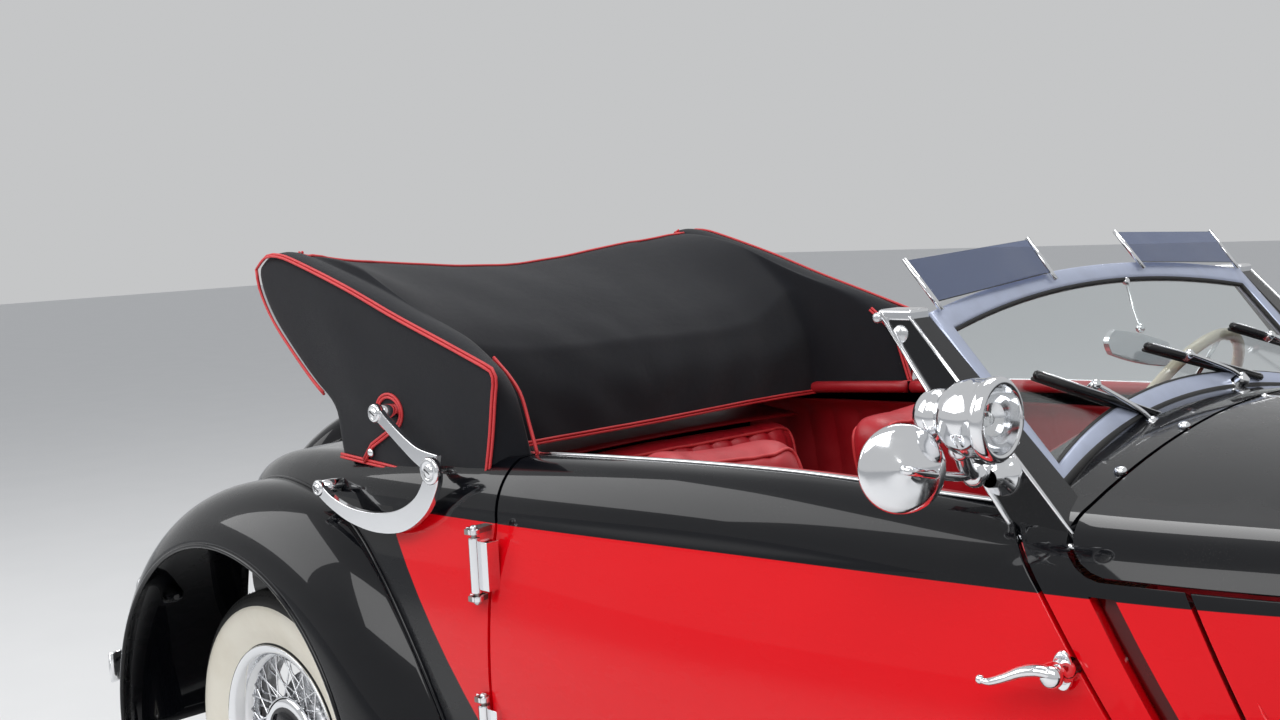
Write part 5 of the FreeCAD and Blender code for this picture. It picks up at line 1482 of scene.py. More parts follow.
def doubled(bm, path, out, gap=3.3, radius=3.1):
    """Two cords side by side along a path of (x, y, z) in mm; out is the way they stand off, one for each point."""
    points = [Vector(p) for p in path]
    for way in (-1, 1):
        line = []
        for i, p in enumerate(points):
            along = (points[min(i + 1, len(points) - 1)] - points[max(i - 1, 0)]).normalized()
            off = Vector(out[i] if isinstance(out, list) else out).normalized()
            q = p + off * 1.6 + along.cross(off).normalized() * (gap * way)
            line.append(mm(q.x, q.y, q.z))
        tube(bm, line, radius / 1000, 6)


def both_halves(path):
    """A line of the right half, carried on to the left."""
    return path + [(x, -y, z) for x, y, z in reversed(path[:-1])]


def hood_cords(boards, inner, roof):
    """Piping along the edges, the seams and the keyholes of the cover."""
    cords = bmesh.new()
    edge, nose = boards[0], boards[-1][HOOD_ALONG - 2:]
    slant = [(0, -0.6, 0.8)] * HOOD_ALONG + [(0.5, -0.85, 0.1)] * (len(edge) - HOOD_ALONG)
    rear = [(x, -HOOD_Y - 1, z) for x, z in evenly(HOOD_REAR, 24)][7:]
    hem = [(x, -HOOD_Y - 3 - 2.0 * math.sin(x / 90), z + 3) for x, z in evenly(HOOD_HEM, 24)]
    for hand in (1, -1):
        for path, out in ((edge, slant), (nose, (0.5, 0.85, 0.1)), (rear, (-0.7, -0.7, 0)), (hem, (0, -1, 0.1))):
            ways = out if isinstance(out, list) else [out] * len(path)
            doubled(cords, [(x, y * hand, z) for x, y, z in path], [(a, b * hand, c) for a, b, c in ways])
    middle = inner + roof[1:]
    head = both_halves([max(row[:HOOD_ALONG // 2], key=lambda p: p[2]) for row in middle])
    doubled(cords, [settle(*p) for p in head], (-0.1, 0, 1))
    front = both_halves([(x + 2, y, z + 3) for x, y, z in [row[-1] for row in middle]])
    doubled(cords, front, (1, 0, 0))
    # keyhole for the upper eye of the landau iron, with its slit down to the hem
    for hand in (-1, 1):
        ring = [(486 + 40 * math.cos(a), hand * (HOOD_Y + 6), 1148 + 34 * math.sin(a))
                for a in (math.radians(285 + 330 * k / 24) for k in range(25))]
        foot = [(418, hand * (HOOD_Y + 5), 1076), (384, hand * (HOOD_Y + 4.5), 1040)]
        doubled(cords, ring[::-1] + foot, (0, hand, 0))
    return cords


def make_hood():
    patches = hood_places()
    bm, snaps = blanks(2)
    for patch in patches:
        woven(bm, patch)
    other_side(bm)
    for vert in bm.verts:
        vert.co = mm(*settle((vert.co.x - AXLE_X) * 1000, vert.co.y * 1000, vert.co.z * 1000))
    bmesh.ops.remove_doubles(bm, verts=bm.verts, dist=4e-4)
    bmesh.ops.recalc_face_normals(bm, faces=bm.faces)
    cover = finished("hood_cover_cloth", bm, "car", hood_cloth, ["hood_cover"], "hood_cloth", outward=False)
    rounded(thicken(cover, 0.0018))
    piping = finished("hood_piping", hood_cords(*patches[1:4]), "car", piping_hide, slot="red_leather")
    for hand in (-1, 1):
        for x, z in HOOD_SNAPS:
            lathe([(0, 0), (0.009, 0), (0.0095, 0.002), (0.007, 0.005), (0.003, 0.0065), (0, 0.007)],
                  mm(x, hand * (HOOD_Y + 6.5), z), (0, hand, 0), 20, snaps)
    snaps = bright("hood_snaps", snaps)


make_hood()


# Landau irons: two curved arms that meet at a wide joint, on each side
def strap(bm, points, widths, y0, y1):
    """A flat curved bar: middle line and half widths in the side view, between two distances from the middle."""
    line = [Vector((p.x, p.z)) for p in curve_through([(x, 0, z) for x, z in points], 6)]
    half = [Vector((p.x, 0)) for p in curve_through([(w, 0, 0) for w in widths], 6)]
    left, right = [], []
    for i, p in enumerate(line):
        along = (line[min(i + 1, len(line) - 1)] - line[max(i - 1, 0)]).normalized()
        side = Vector((-along.y, along.x)) * half[i].x
        left.append(p + side)
        right.append(p - side)
    outline = left + right[::-1]
    capped(bm, [[mm(p.x, y, p.y) for p in outline] for y in (y0, y1)])


def slotted(bm, x, y, z, side, radius, high):
    """A round boss with a slotted screw in it."""
    lathe([(0, -0.004), (radius, -0.004), (radius, high - 0.003), (radius - 0.003, high), (0.55 * radius, high),
           (0.52 * radius, high - 0.0015), (0.5 * radius, high), (0.42 * radius, high + 0.002), (0, high + 0.0022)],
          mm(x, y, z), (0, side, 0), 32, bm)


def make_irons():
    arms, bosses, slots = blanks(3)
    for side in (-1, 1):
        strap(arms, [(505, 1157), (530, 1141), (585, 1106), (636, 1079), (694, 1062)], [17, 12, 12.5, 16, 24],
              side * 729, side * 741.5)
        strap(arms, [(307, 988), (352, 963), (420, 943), (505, 937), (590, 950), (655, 985), (692, 1032),
                     (699, 1060)], [14, 13, 16, 20, 22, 21, 21, 22], side * 743, side * 756.5)
        slotted(bosses, 696, side * 754, 1057, side, 0.027, 0.008)
        slotted(bosses, 507, side * 739, 1154, side, 0.019, 0.007)
        slotted(bosses, 310, side * 754, 988, side, 0.017, 0.007)
        bar(bosses, mm(507, side * 686, 1154), mm(507, side * 738, 1154), 0.015, sides=24)
        bar(bosses, mm(310, side * 690, 988), mm(310, side * 752, 988), 0.015, sides=24)
        # Dark strips laid on the screw heads: painted shade of the slots, which are not cut.
        for x, y, z in ((696, 764.3, 1057), (507, 748.3, 1154), (310, 763.3, 988)):
            made = block(slots, Vector((-0.009, -0.0006, -0.0011)), Vector((0.009, 0.0006, 0.0011)))
            bmesh.ops.rotate(slots, verts=made, matrix=Matrix.Rotation(0.5, 3, "Y"))
            bmesh.ops.translate(slots, verts=made, vec=mm(x, side * (y - 0.2), z))
    soften(finished("landau_arms", arms, "car", chrome, ["landau_irons"], "chrome"), 0.004, 3)
    bright("landau_bosses", bosses)
    finished("landau_screw_slot_shade_strips", slots, "car", dark_plastic, slot="iron", smooth=False)


make_irons()


# Door hinges, with the moving barrel between two fixed ears, and the handles
HINGE_X, HINGE_Y = 837, 772
# foot and head of each hinge's barrel
HINGE_BARRELS = ((848, 950), (536, 638))
HANDLE_X, HANDLE_Y, HANDLE_Z = 1975, 716, 898


def make_hinges(side, name):
    barrels, ears, caps = blanks(3)
    for z0, z1 in HINGE_BARRELS:
        at, top = mm(HINGE_X, side * HINGE_Y, z0), mm(HINGE_X, side * HINGE_Y, z1)
        lathe([(0.0056, 0), (0.0098, 0), (0.011, 0.0012), (0.011, 0.1008), (0.0098, 0.102), (0.0056, 0.102),
               (0.0056, 0)], at, (0, 0, 1), 32, barrels)
        low, high = sorted((side * 744, side * HINGE_Y))
        block(barrels, Vector((at.x + 0.004, low / 1000, at.z + 0.006)),
              Vector((at.x + 0.034, high / 1000, top.z - 0.006)))
        for z in (z0 - 16, z1 + 6):
            lathe([(0, 0), (0.0105, 0), (0.0115, 0.001), (0.0115, 0.009), (0.0105, 0.01), (0, 0.01)],
                  mm(HINGE_X, side * HINGE_Y, z), (0, 0, 1), 32, ears)
            low, high = sorted((side * 716, side * 770))
            block(ears, mm(812, low, z), mm(836, high, z + 10))
        for z, way in ((z1 + 16, 1), (z0 - 16, -1)):
            lathe([(0, -0.001), (0.0075, -0.001), (0.0075, 0.002), (0.005, 0.006), (0, 0.0075)],
                  mm(HINGE_X, side * HINGE_Y, z), (0, 0, way), 24, caps)
    fittings = ["door_fittings_" + name]
    soften(finished("hinge_barrels_" + name, barrels, "door_" + name, chrome, fittings, "chrome"), 0.0012)
    soften(bright("hinge_ears_" + name, ears), 0.0012)
    finished("hinge_pin_caps_" + name, caps, "car", dull_plate, slot="chrome")


def make_handle(side, name):
    handle, plate = blanks(2)
    at = mm(HANDLE_X, side * HANDLE_Y, HANDLE_Z)
    lathe([(0, -0.02), (0.016, -0.02), (0.0165, 0.004), (0.0135, 0.012), (0.013, 0.02), (0.0155, 0.026),
           (0.015, 0.034), (0.01, 0.04), (0, 0.041)], at, (0, side, 0), 32, handle)
    lever = curve_through([mm(1978, side * 742, 901), mm(1960, side * 748, 905), mm(1937, side * 752, 900),
                           mm(1914, side * 756, 889), mm(1895, side * 763, 882), mm(1884, side * 768, 884)], 6)
    widths = [0.013, 0.0142, 0.0135, 0.011, 0.0092, 0.0072]
    tube(handle, lever, [p.x for p in curve_through([(w, 0, 0) for w in widths], 6)], 16, flat=0.62)
    knob(handle, lever[-1], 0.0068, 8)
    knob(handle, lever[0], 0.0118, 8)
    made = bmesh.ops.create_cone(plate, cap_ends=True, segments=48, radius1=0.5, radius2=0.46, depth=1.0)["verts"]
    bmesh.ops.scale(plate, verts=made, vec=(0.031, 0.056, 0.006))
    bmesh.ops.rotate(plate, verts=made, matrix=Matrix.Rotation(math.radians(90 if side < 0 else -90), 3, "X"))
    bmesh.ops.translate(plate, verts=made, vec=mm(HANDLE_X - 1, side * (HANDLE_Y - 1.5), HANDLE_Z))
    bright("door_handle_" + name, handle, "door_" + name)
    soften(bright("door_handle_plate_" + name, plate, "door_" + name), 0.002)


for side, name in SIDES:
    make_hinges(side, name)
    make_handle(side, name)


# Seats: foam pads that swell under their covers, then seams, pleats and piping

def pad_mesh(name, centre, half, power, place=None):
    """A closed pillow form with rounded corners, in mm; place may move each (x, y, z)."""
    bm = bmesh.new()
    bmesh.ops.create_cube(bm, size=2.0)
    bmesh.ops.subdivide_edges(bm, edges=bm.edges[:], cuts=14, use_grid_fill=True)
    for vert in bm.verts:
        x, y, z = vert.co
        shrink = (abs(x) ** power + abs(y) ** power + abs(z) ** power) ** (-1 / power)
        point = [c + h * k * shrink for c, h, k in zip(centre, half, (x, y, z))]
        vert.co = mm(*(place(*point) if place else point))
    return piece_from(name, bm)


def baked(piece):
    """Takes on what the piece's modifiers make of it."""
    bpy.context.view_layer.update()
    graph = bpy.context.evaluated_depsgraph_get()
    made = bpy.data.meshes.new_from_object(piece.evaluated_get(graph))
    old = piece.data
    piece.modifiers.clear()
    piece.data = made
    bpy.data.meshes.remove(old)


def swell(piece, voxel, pressure, cap, rest_z=None):
    """Fills a cover until its foam pushes back; where it rests it stays flat."""
    grid = piece.modifiers.new("grid", "REMESH")
    grid.mode = "VOXEL"
    grid.voxel_size = voxel
    baked(piece)
    before = [v.co.copy() for v in piece.data.vertices]
    cover = piece.modifiers.new("cover", "CLOTH")
    cover.settings.use_pressure = True
    cover.settings.uniform_pressure_force = pressure
    cover.settings.effector_weights.gravity = 0.0
    cover.settings.quality = 4
    cover.point_cache.frame_start, cover.point_cache.frame_end = 1, 20
    for step in range(1, 21):
        bpy.context.scene.frame_set(step)
    baked(piece)
    bpy.context.scene.frame_set(1)
    for vert, start in zip(piece.data.vertices, before):
        way = vert.co - start
        if way.length > cap:
            vert.co = start + way * (cap / way.length)
        if rest_z is not None and vert.co.z < rest_z:
            vert.co.z = rest_z
    taut = bmesh.new()
    taut.from_mesh(piece.data)
    for _ in range(14):
        bmesh.ops.smooth_vert(taut, verts=taut.verts, factor=0.5, use_axis_x=True, use_axis_y=True, use_axis_z=True)
    taut.to_mesh(piece.data)
    taut.free()


def pleat(piece, front, across, lines, region, depth, width):
    """Sews channels into the face that looks along front; region keeps them clear of the borders."""
    front, across = Vector(front).normalized(), Vector(across)
    for vert in piece.data.vertices:
        facing = max(0.0, vert.normal.dot(front) - 0.25) / 0.75
        mask = region(vert.co) * min(1.0, facing * 1.6)
        if mask > 0:
            at = vert.co.dot(across)
            near = min(abs(at - line) for line in lines)
            step = abs(lines[1] - lines[0])
            crown = math.cos(math.pi * min(near / step, 0.5) - math.pi / 2)
            vert.co += front * mask * (0.45 * depth * crown - depth * math.exp(-(near / width) ** 2))


def piped(name, piece, paths, body="car", radius=0.0042):
    """Cords along the seams, laid on the pad's own surface."""
    bm = bmesh.new()
    for path in paths:
        line = []
        for point in path:
            _, spot, normal, _ = piece.closest_point_on_mesh(point)
            line.append(spot + normal * radius * 0.35)
        tube(bm, line, radius, 6, closed=True)
    return finished(name, bm, body, piping_hide, slot="red_leather")


def oval(centre, one, two, power=5.0, count=72):
    """A rounded rectangle of points round a centre; one and two are its half sizes as vectors."""
    points = []
    for k in range(count):
        a = 2 * math.pi * k / count
        c, s = math.cos(a), math.sin(a)
        r = (abs(c) ** power + abs(s) ** power) ** (-1 / power)
        points.append(Vector(centre) + Vector(one) * c * r + Vector(two) * s * r)
    return points


def dressed_pad(piece, body, nodes=()):
    for face in piece.data.polygons:
        face.use_smooth = True
    piece.data.materials.append(seat_hide)
    rounded(piece)
    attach(piece, body)
    if nodes:
        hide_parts(*nodes)


def box_mask(axis_ranges, soft=0.02):
    """1 inside a box of (axis, low, high) ranges in metres, falling to 0 at its borders."""
    def mask(co):
        value = 1.0
        for axis, low, high in axis_ranges:
            value *= min(max((co[axis] - low) / soft, 0.0), 1.0) * min(max((high - co[axis]) / soft, 0.0), 1.0)
        return value
    return mask


# half of the distance between the two front seats; how far a back leans for each mm of height
SEAT_Y, SEAT_LEAN = 329, -0.21
SEAT_BACK_X, CUSHION_X, CUSHION_HALF = 1125, 1318, 178
BENCH_BACK_X, BENCH_LEAN, BENCH_HALF = 508, -0.17, 495


def make_front_seat(side, name):
    mid = side * SEAT_Y

    def lean_back(x, y, z):
        raised = 0.065 * (abs(y) - SEAT_Y) * min(max((z - 800) / 250, 0.0), 1.0)
        return x + SEAT_LEAN * (z - 640) + 0.00018 * (abs(y) - SEAT_Y) ** 2 * 0.4, y, z + raised
    back = pad_mesh("seat_back_" + name, (SEAT_BACK_X, mid, 889), (47, 216, 195), 7.0, lean_back)
    swell(back, 0.008, 4.0, 0.022)
    dressed_pad(back, "car", ["front_seats"])
    up, front = Vector((SEAT_LEAN, 0, 1)).normalized(), Vector((1, 0, -SEAT_LEAN)).normalized()
    centre = mm(SEAT_BACK_X + SEAT_LEAN * 244, mid, 890)
    piped("seat_back_piping_" + name, back, [
        oval(centre + front * 0.09, (0, 0.208, 0), up * 0.19, 7.0),
        oval(centre - front * 0.09, (0, 0.208, 0), up * 0.19, 7.0)])

    cushion = pad_mesh("seat_cushion_" + name, (CUSHION_X, mid, 756), (216, 212, 40), 7.0,
                       lambda x, y, z: (x, y, z + 0.05 * (x - CUSHION_X)))
    swell(cushion, 0.008, 4.0, 0.02, 0.705)
    low, high = mid - CUSHION_HALF, mid + CUSHION_HALF
    lines = [(low + 2 * CUSHION_HALF * k / 6) / 1000 for k in range(7)]
    pleat(cushion, (0, 0, 1), (0, 1, 0), lines,
          box_mask([(1, low / 1000 - 0.012, high / 1000 + 0.012), (0, ahead(1.15), ahead(1.50))]), 0.0075, 0.0055)
    dressed_pad(cushion, "car")
    piped("seat_cushion_piping_" + name, cushion, [
        oval(mm(CUSHION_X, mid, 840), (0.208, 0, 0.01), (0, 0.205, 0), 7.0)])

    base, rails = blanks(2)
    y0, y1 = sorted((side * 118, side * 552))
    slab(base, (1092, 1500), (y0, y1), (470, 716))
    slab(base, (1075, 1120), (y0, y1), (640, 760))
    for y in (side * 150, side * 510):
        slab(rails, (1060, 1520), (y - 14, y + 14), (452, 472))
        bar(rails, mm(1520, y, 466), mm(1542, y, 474), 0.007, sides=12)
    soften(finished("seat_base_" + name, base, "car", trim_hide, slot="red_leather", smooth=False), 0.012, 3)
    soften(finished("seat_rails_" + name, rails, "car", dull_steel, slot="steel", smooth=False), 0.002)


def make_bench():
    def lean_back(x, y, z):
        return x + BENCH_LEAN * (z - 800) - 0.00005 * abs(y) ** 1.8 * 0.2, y, z - 0.00006 * y * y
    lines = [(-BENCH_HALF + 2 * BENCH_HALF * k / 14) / 1000 for k in range(15)]
    borders = (1, -0.507, 0.507)
    back = pad_mesh("bench_back", (BENCH_BACK_X, 0, 862), (42, 566, 140), 9.0, lean_back)
    swell(back, 0.011, 3.0, 0.022)
    pleat(back, (1, 0, -BENCH_LEAN), (0, 1, 0), lines, box_mask([borders, (2, 0.70, 0.985)]), 0.008, 0.007)
    dressed_pad(back, "car", ["rear_bench"])
    up = Vector((BENCH_LEAN, 0, 1)).normalized()
    piped("bench_back_piping", back, [
        oval(mm(BENCH_BACK_X + BENCH_LEAN * 66 + 85, 0, 866), (0, 0.555, 0), up * 0.142, 9.0, 110)])
    cushion = pad_mesh("bench_cushion", (700, 0, 690), (160, 562, 46), 9.0)
    swell(cushion, 0.011, 3.0, 0.02, 0.63)
    pleat(cushion, (0, 0, 1), (0, 1, 0), lines, box_mask([borders, (0, ahead(0.57), ahead(0.83))]), 0.008, 0.007)
    dressed_pad(cushion, "car")
    piped("bench_cushion_piping", cushion, [oval(mm(700, 0, 790), (0.155, 0, 0), (0, 0.552, 0), 9.0, 110)])
    base = bmesh.new()
    slab(base, (512, 848), (-580, 580), (462, 640))
    slab(base, (478, 520), (-580, 580), (520, 750))
    soften(finished("bench_base", base, "car", carpet, slot="red_leather", smooth=False), 0.01, 3)


make_front_seat(-1, "right")
make_front_seat(1, "left")
make_bench()


# Cockpit: cards, rolls along the door tops, board with its dials, wheel, levers, pedals
FLUTE_PITCH, FLUTE_DEPTH = 0.08, 0.007
ROLL_R, ROLL_LIFT = 0.0145, -0.0135
# across and height of the dials' centres, with their radii, and of the knobs below them
DASH_FACE = 1838
DIALS = [(250, 1000, 52), (390, 1000, 52), (130, 1000, 34), (60, 1000, 34), (-10, 1000, 34)]
DASH_KNOBS = [(y, 930) for y in (130, 95, 60, 25, -10, -45, 470)]


def inner_card(name, body, rear, front, z0, z1, inset, turned):
    """A trimmed card inside a body panel, with upright flutes in its middle."""
    bm = body_panel(rear, front, lambda x: level_where(x, z0, 1, 0, 1), lambda x: level_where(x, z1, 1, 1, 2),
                    110, 14, inset)
    for vert in bm.verts:
        over, under = (vert.co.z - z0 / 1000 - 0.09) / 0.02, (z1 / 1000 - 0.035 - vert.co.z) / 0.015
        mask = min(1.0, max(0.0, over)) * min(1.0, max(0.0, under))
        vert.co.y += mask * FLUTE_DEPTH * (abs(math.sin(math.pi * vert.co.x / FLUTE_PITCH)) - 1.0)
    if turned:
        flip(bm)
    card = finished(name, bm, body, trim_hide, slot="red_leather", outward=False)
    return thicken(card, 0.004)


def door_top_line(side, count, y, lift, rear=852, front=1868):
    """Points along the inner top edge of a door or quarter."""
    points = []
    for k in range(count + 1):
        x = rear + (front - rear) * k / count
        z = body_mm(x, level_where(x, y, 0, 2, 3))[1]
        points.append(Vector((ahead(x / 1000), side * y / 1000, z / 1000 + lift)))
    return points


def door_levers(side):
    """Inner handle and window lever of a door."""
    pulls = bmesh.new()
    for x, z in ((1700, 905), (1480, 800)):
        y = body_mm(x, 1)[0] - 38
        lathe([(0, 0), (0.024, 0), (0.024, 0.004), (0.012, 0.008), (0.008, 0.014), (0.01, 0.02), (0, 0.022)],
              mm(x, side * y, z), (0, -side, 0), 28, pulls)
        tube(pulls, [mm(x, side * (y - 18), z), mm(x - 62, side * (y - 22), z - 16)], [0.006, 0.0045], 10)
        knob(pulls, mm(x - 62, side * (y - 26), z - 16), 0.009)
    return pulls


def make_trim():
    for side, name in SIDES:
        inner_card("door_card_" + name, "door_" + name, always(851), lambda z: min(door_edge(z) - 44, 1915),
                   482, 1058, 34, side > 0)
        inner_card("quarter_card_" + name, "car", always(262), always(835), 560, 1040, 36, side > 0)
        strip, pad, quarter_roll = blanks(3)
        tube(strip, door_top_line(side, 30, DOOR_TOP_IN + 13, 0.0012), 0.0058, 8, flat=0.55)
        tube(pad, door_top_line(side, 30, DOOR_TOP_IN - 1, ROLL_LIFT), ROLL_R, 12)
        tube(quarter_roll, door_top_line(side, 10, DOOR_TOP_IN - 1, ROLL_LIFT, 500, 838), ROLL_R, 12)
        finished("quarter_top_roll_" + name, quarter_roll, "car", trim_hide, slot="red_leather")
        bright("door_top_strip_" + name, strip, "door_" + name)
        finished("door_top_roll_" + name, pad, "door_" + name, trim_hide, slot="red_leather")
        bright("door_inner_levers_" + name, door_levers(side), "door_" + name)
    edge = [body_at(COCKPIT_FRONT, 2.06 + 0.94 * k / 24, 4.0) for k in range(25)]
    edge += [Vector((p.x, -p.y, p.z)) for p in reversed(edge[:-1])]
    roll = bmesh.new()
    tube(roll, [p + Vector((-0.004, 0, -0.012)) for p in edge], 0.014, 10)
    finished("scuttle_edge_roll", roll, "car", trim_hide, slot="red_leather")
    shelf = sheet_grid(20, 8, lambda u, v: mm(272 + 206 * v, -612 + 1224 * u, 1018 - 30 * v - 14 * (2 * u - 1) ** 2))
    thicken(finished("rear_shelf", shelf, "car", trim_hide, slot="red_leather", outward=False), 0.005)


make_trim()
dress("dashboard", wood)


def make_dials():
    rims, faces, needles, glasses, knobs = blanks(5)
    back = (-1, 0, 0)
    for y, z, r in DIALS:
        r /= 1000
        at = mm(DASH_FACE, y, z)
        lathe([(r, -0.002), (r + 0.006, 0.0), (r + 0.007, 0.006), (r + 0.003, 0.01), (r, 0.0085), (r, -0.002)],
              at, back, 48, rims)
        lathe([(0, 0.0022), (r, 0.0022), (r, -0.001), (0, -0.001)], at, back, 48, faces)
        lathe([(0, 0.0095), (r * 0.7, 0.0088), (r, 0.007), (r, 0.0058), (0, 0.0078)], at, back, 48, glasses)
        for k in range(11):
            a = math.radians(225 - 27 * k)
            low, high = (Vector((0, -math.cos(a), math.sin(a))) * share * r for share in (0.78, 0.92))
            front = Vector((-0.0028, 0, 0))
            bar(needles, at + low + front, at + high + front, 0.0009, sides=4)
        hand, front = Vector((0, -math.cos(2.2), math.sin(2.2))), at + Vector((-0.004, 0, 0))
        bar(needles, front - hand * r * 0.15, front + hand * r * 0.72, 0.0015, 0.0006, 6)
        lathe([(0, 0.002), (0.005, 0.002), (0.005, 0.0056), (0, 0.006)], at, back, 16, knobs)
    for y, z in DASH_KNOBS:
        lathe([(0, -0.001), (0.006, -0.001), (0.006, 0.016), (0.012, 0.018), (0.013, 0.026), (0.009, 0.031),
               (0, 0.032)], mm(DASH_FACE, y, z), back, 24, knobs)
    bright("dial_rims", rims)
    finished("dial_faces", faces, "car", cream_plastic, slot="cream_plastic")
    finished("dial_hands", needles, "car", dark_plastic, slot="iron", smooth=False)
    finished("dial_glasses", glasses, "car", window_glass, slot="glass")
    finished("dash_knobs", knobs, "car", dark_plastic, slot="cream_plastic")
    lid = bmesh.new()
    slab(lid, (1833, 1840), (-440, -170), (925, 1060))
    soften(finished("glovebox_lid", lid, "car", wood, slot="wood", smooth=False), 0.003)
    catch = lathe([(0, 0), (0.011, 0), (0.011, 0.006), (0.006, 0.009), (0.005, 0.016), (0.009, 0.02), (0, 0.022)],
                  mm(1833, -305, 1045), back, 28)
    bright("glovebox_catch", catch)


make_dials()


GRIP_RING_R, GRIP_RING_AT, GRIP_COUNT = 215, -26, 96
COLUMN_DIP = math.radians(30)


def column_spot(along, up=0.0, across=0.0):
    """A place by its distance down the steering column, and up and across in the wheel's plane."""
    c, s = math.cos(COLUMN_DIP), math.sin(COLUMN_DIP)
    return mm(1640 + along * c + up * s, 350 + across, 1035 - along * s + up * c)


def make_steering():
    way = (column_spot(-100) - column_spot(0)).normalized()
    rim, grips, metal, hub, collar = blanks(5)
    angles = [2 * math.pi * k / GRIP_COUNT for k in range(GRIP_COUNT)]
    ring = [column_spot(GRIP_RING_AT, GRIP_RING_R * math.sin(a), GRIP_RING_R * math.cos(a)) for a in angles]
    tube(rim, ring, 0.0112, 16, closed=True)
    for a in angles[::3]:
        knob(grips, column_spot(GRIP_RING_AT, 205.5 * math.sin(a), 205.5 * math.cos(a)), 0.0042, 4)
    for turn in (90, 210, 330):
        a = math.radians(turn)
        for shift in (-7.5, -2.5, 2.5, 7.5):
            sx, sy = -math.sin(a) * shift, math.cos(a) * shift
            bar(metal, column_spot(-30, 26 * math.sin(a) + sy, 26 * math.cos(a) + sx),
                column_spot(GRIP_RING_AT, 208 * math.sin(a) + sy * 1.2, 208 * math.cos(a) + sx * 1.2),
                0.0019, sides=8)
    lathe([(0.011, 0.0), (0.026, 0.0), (0.03, 0.006), (0.03, 0.022), (0.026, 0.03), (0.02, 0.033), (0.0118, 0.034),
           (0.011, 0.0)], column_spot(-1), way, 48, hub)
    lathe([(0, 0.033), (0.018, 0.034), (0.019, 0.038), (0.014, 0.041), (0, 0.042)], column_spot(-1), way, 40, metal)
    finished("steering_rim", rim, "steering_wheel", cream_plastic, ["steering_wheel"], "cream_plastic")
    finished("steering_finger_grips", grips, "steering_wheel", cream_plastic, slot="cream_plastic")
    bright("steering_spokes", metal, "steering_wheel")
    finished("steering_hub", hub, "steering_wheel", dark_plastic, slot="cream_plastic")
    lathe([(0.0192, -0.02), (0.024, -0.02), (0.026, -0.01), (0.0245, 0.0), (0.0192, 0.0), (0.0192, -0.02)],
          column_spot(2), way, 40, collar)
    lathe([(0.0192, 0), (0.03, 0), (0.034, 0.008), (0.03, 0.016), (0.0192, 0.02), (0.0192, 0)],
          column_spot(210), way, 40, collar)
    bright("column_collars", collar)


make_steering()


def make_controls():
    metal, grip, boot, pads = blanks(4)
    stick = curve_through([mm(1640, 20, 500), mm(1610, 20, 640), mm(1560, 20, 760), mm(1535, 20, 820)], 8)
    tube(metal, stick, 0.0075, 12)
    knob(grip, mm(1533, 20, 824), 0.024)
    lathe([(0.0, 0.0), (0.06, 0.0), (0.056, 0.008), (0.034, 0.03), (0.026, 0.05), (0.018, 0.07), (0.011, 0.09)],
          mm(1640, 20, 470), (-0.1, 0, 1), 32, boot)
    tube(metal, curve_through([mm(1650, -50, 490), mm(1560, -50, 600), mm(1470, -50, 660)], 8), 0.009, 12, flat=0.7)
    tube(grip, [mm(1480, -50, 656), mm(1400, -50, 690)], [0.0135, 0.0145], 14)
    for y, wide in ((285, 30), (370, 30), (440, 22)):
        tube(metal, curve_through([mm(2010, y, 520), mm(1985, y, 610), mm(1965, y, 640)], 6), 0.008, 10)
        made = block(pads, mm(-6, y - wide, -38), mm(6, y + wide, 38))
        bmesh.ops.translate(pads, verts=made, vec=(1.5, 0, 0))
        bmesh.ops.rotate(pads, verts=made, matrix=Matrix.Rotation(-0.6, 3, "Y"), cent=(0, y / 1000, 0))
        bmesh.ops.translate(pads, verts=made, vec=(ahead(1.955), 0, 0.65))
    bright("lever_rods", metal)
    finished("lever_grips", grip, "car", cream_plastic, slot="cream_plastic")
    finished("lever_boot", boot, "car", mat_rubber, slot="rubber")
    soften(finished("pedal_pads", pads, "car", mat_rubber, slot="rubber", smooth=False), 0.004)


make_controls()


# Spare wheel under its round metal cover, on the tail
SPARE_LEAN, SPARE_AT = math.radians(20), (-580, 0, 710)


def make_spare():
    way, at = Vector((-math.cos(SPARE_LEAN), 0, math.sin(SPARE_LEAN))), mm(*SPARE_AT)
    cover = lathe([(0, -0.058), (0.2, -0.058), (0.31, -0.058), (0.334, -0.044), (0.346, -0.022), (0.35, 0.0),
                   (0.346, 0.022), (0.334, 0.044), (0.318, 0.056), (0.3, 0.061), (0.294, 0.058), (0.286, 0.062),
                   (0.2, 0.068), (0.124, 0.0712), (0.12, 0.0685), (0.112, 0.0718), (0, 0.0722)], at, way, 128)
    finished("spare_cover_dressed", cover, "car", black_paint, ["spare_wheel"], "spare_cover")
    rings = lathe([(0.29, 0.057), (0.293, 0.064), (0.298, 0.0665), (0.303, 0.064), (0.305, 0.057), (0.29, 0.057)],
                  at, way, 128)
    lathe([(0.03, 0.07), (0.034, 0.076), (0.03, 0.081), (0.012, 0.084), (0, 0.0845), (0, 0.07)], at, way, 40, rings)
    bright("spare_rings", rings)
    arm = bmesh.new()
    bar(arm, at - way * 0.2, at - way * 0.055, 0.06, sides=40)
    lathe([(0.06, 0), (0.085, 0), (0.088, 0.006), (0.085, 0.012), (0.06, 0.014)], at - way * 0.07, way, 40, arm)
    finished("spare_bracket", arm, "car", chassis_paint, slot="frame_paint")


make_spare()


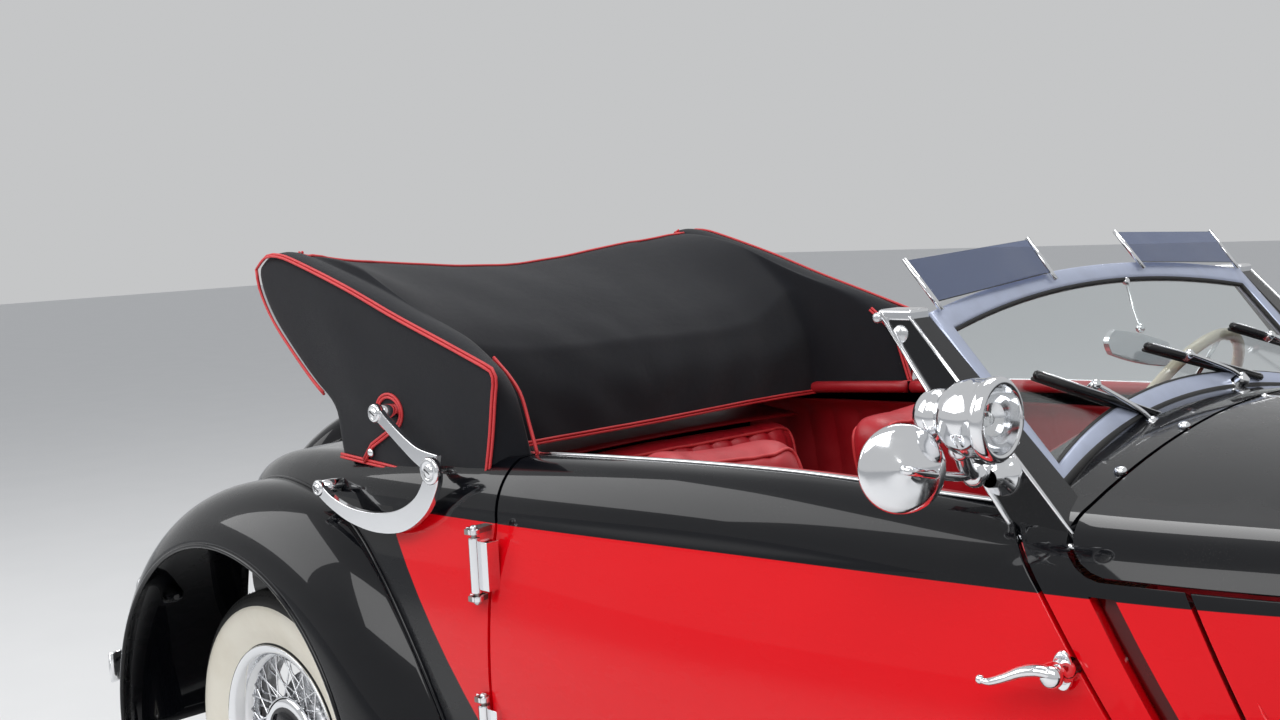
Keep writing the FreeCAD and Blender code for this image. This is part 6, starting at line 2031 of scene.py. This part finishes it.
# Bonnet: crest bead, catches on the lids' rear edge, louvres and side catches
LOUVRE_COUNT, LOUVRE_START, LOUVRE_PITCH = 19, 2260, 41
LOUVRE_FOOT, LOUVRE_HEAD = 690.0, 890.0
LOUVRE_WIDTHS = [0.001, 0.0055, 0.0065, 0.0068, 0.0065, 0.0055, 0.001]


def louvre(x, side):
    """A louvre's path up the bonnet side, leaning as the side's rear edge does."""
    path = []
    for j in range(7):
        z = LOUVRE_FOOT + (LOUVRE_HEAD - LOUVRE_FOOT) * j / 6
        leaned = x - (z - 790) * math.tan(math.radians(BONNET_SLANT))
        y = body_mm(leaned, level_where(leaned, z, 1, 0, 1))[0]
        path.append(mm(leaned, side * (y - 0.5), z))
    return path


def make_bonnet_trim():
    bead, catches, louvres = blanks(3)
    along = [1950 + 1253 * k / 30 for k in range(31)]
    line = [mm(x, 0, body_mm(x, 3)[1] - 2.6) for x in along]
    tube(bead, line, 0.0044, 10)
    knob(bead, line[0], 0.0062, 8)
    for side in (-1, 1):
        for level in (2.2, 2.55):
            spot = body_at(1936, level, -1.0)
            spot.y *= -side
            lathe([(0, -0.002), (0.009, -0.002), (0.0095, 0.003), (0.006, 0.007), (0, 0.008)], spot,
                  (0, 0.25 * side, 1), 20, catches)
        for x in (2330, 3020):
            at = mm(x, side * (body_mm(x, 1)[0] + 1), 962)
            lathe([(0, -0.002), (0.014, -0.002), (0.015, 0.003), (0.01, 0.006), (0, 0.007)], at, (0, side, 0.1), 24,
                  catches)
            tube(catches, [at + Vector((0, side * 0.006, 0.0)), at + Vector((0.004, side * 0.012, -0.03)),
                           at + Vector((0.006, side * 0.009, -0.044))], [0.005, 0.004, 0.003], 8)
        for k in range(LOUVRE_COUNT):
            tube(louvres, louvre(LOUVRE_START + LOUVRE_PITCH * k, side), LOUVRE_WIDTHS, 8, flat=0.9)
    bright("bonnet_crest_bead", bead)
    bright("bonnet_catches", catches)
    finished("bonnet_louvres", louvres, "car", body_paint, slot="red_paint")


make_bonnet_trim()
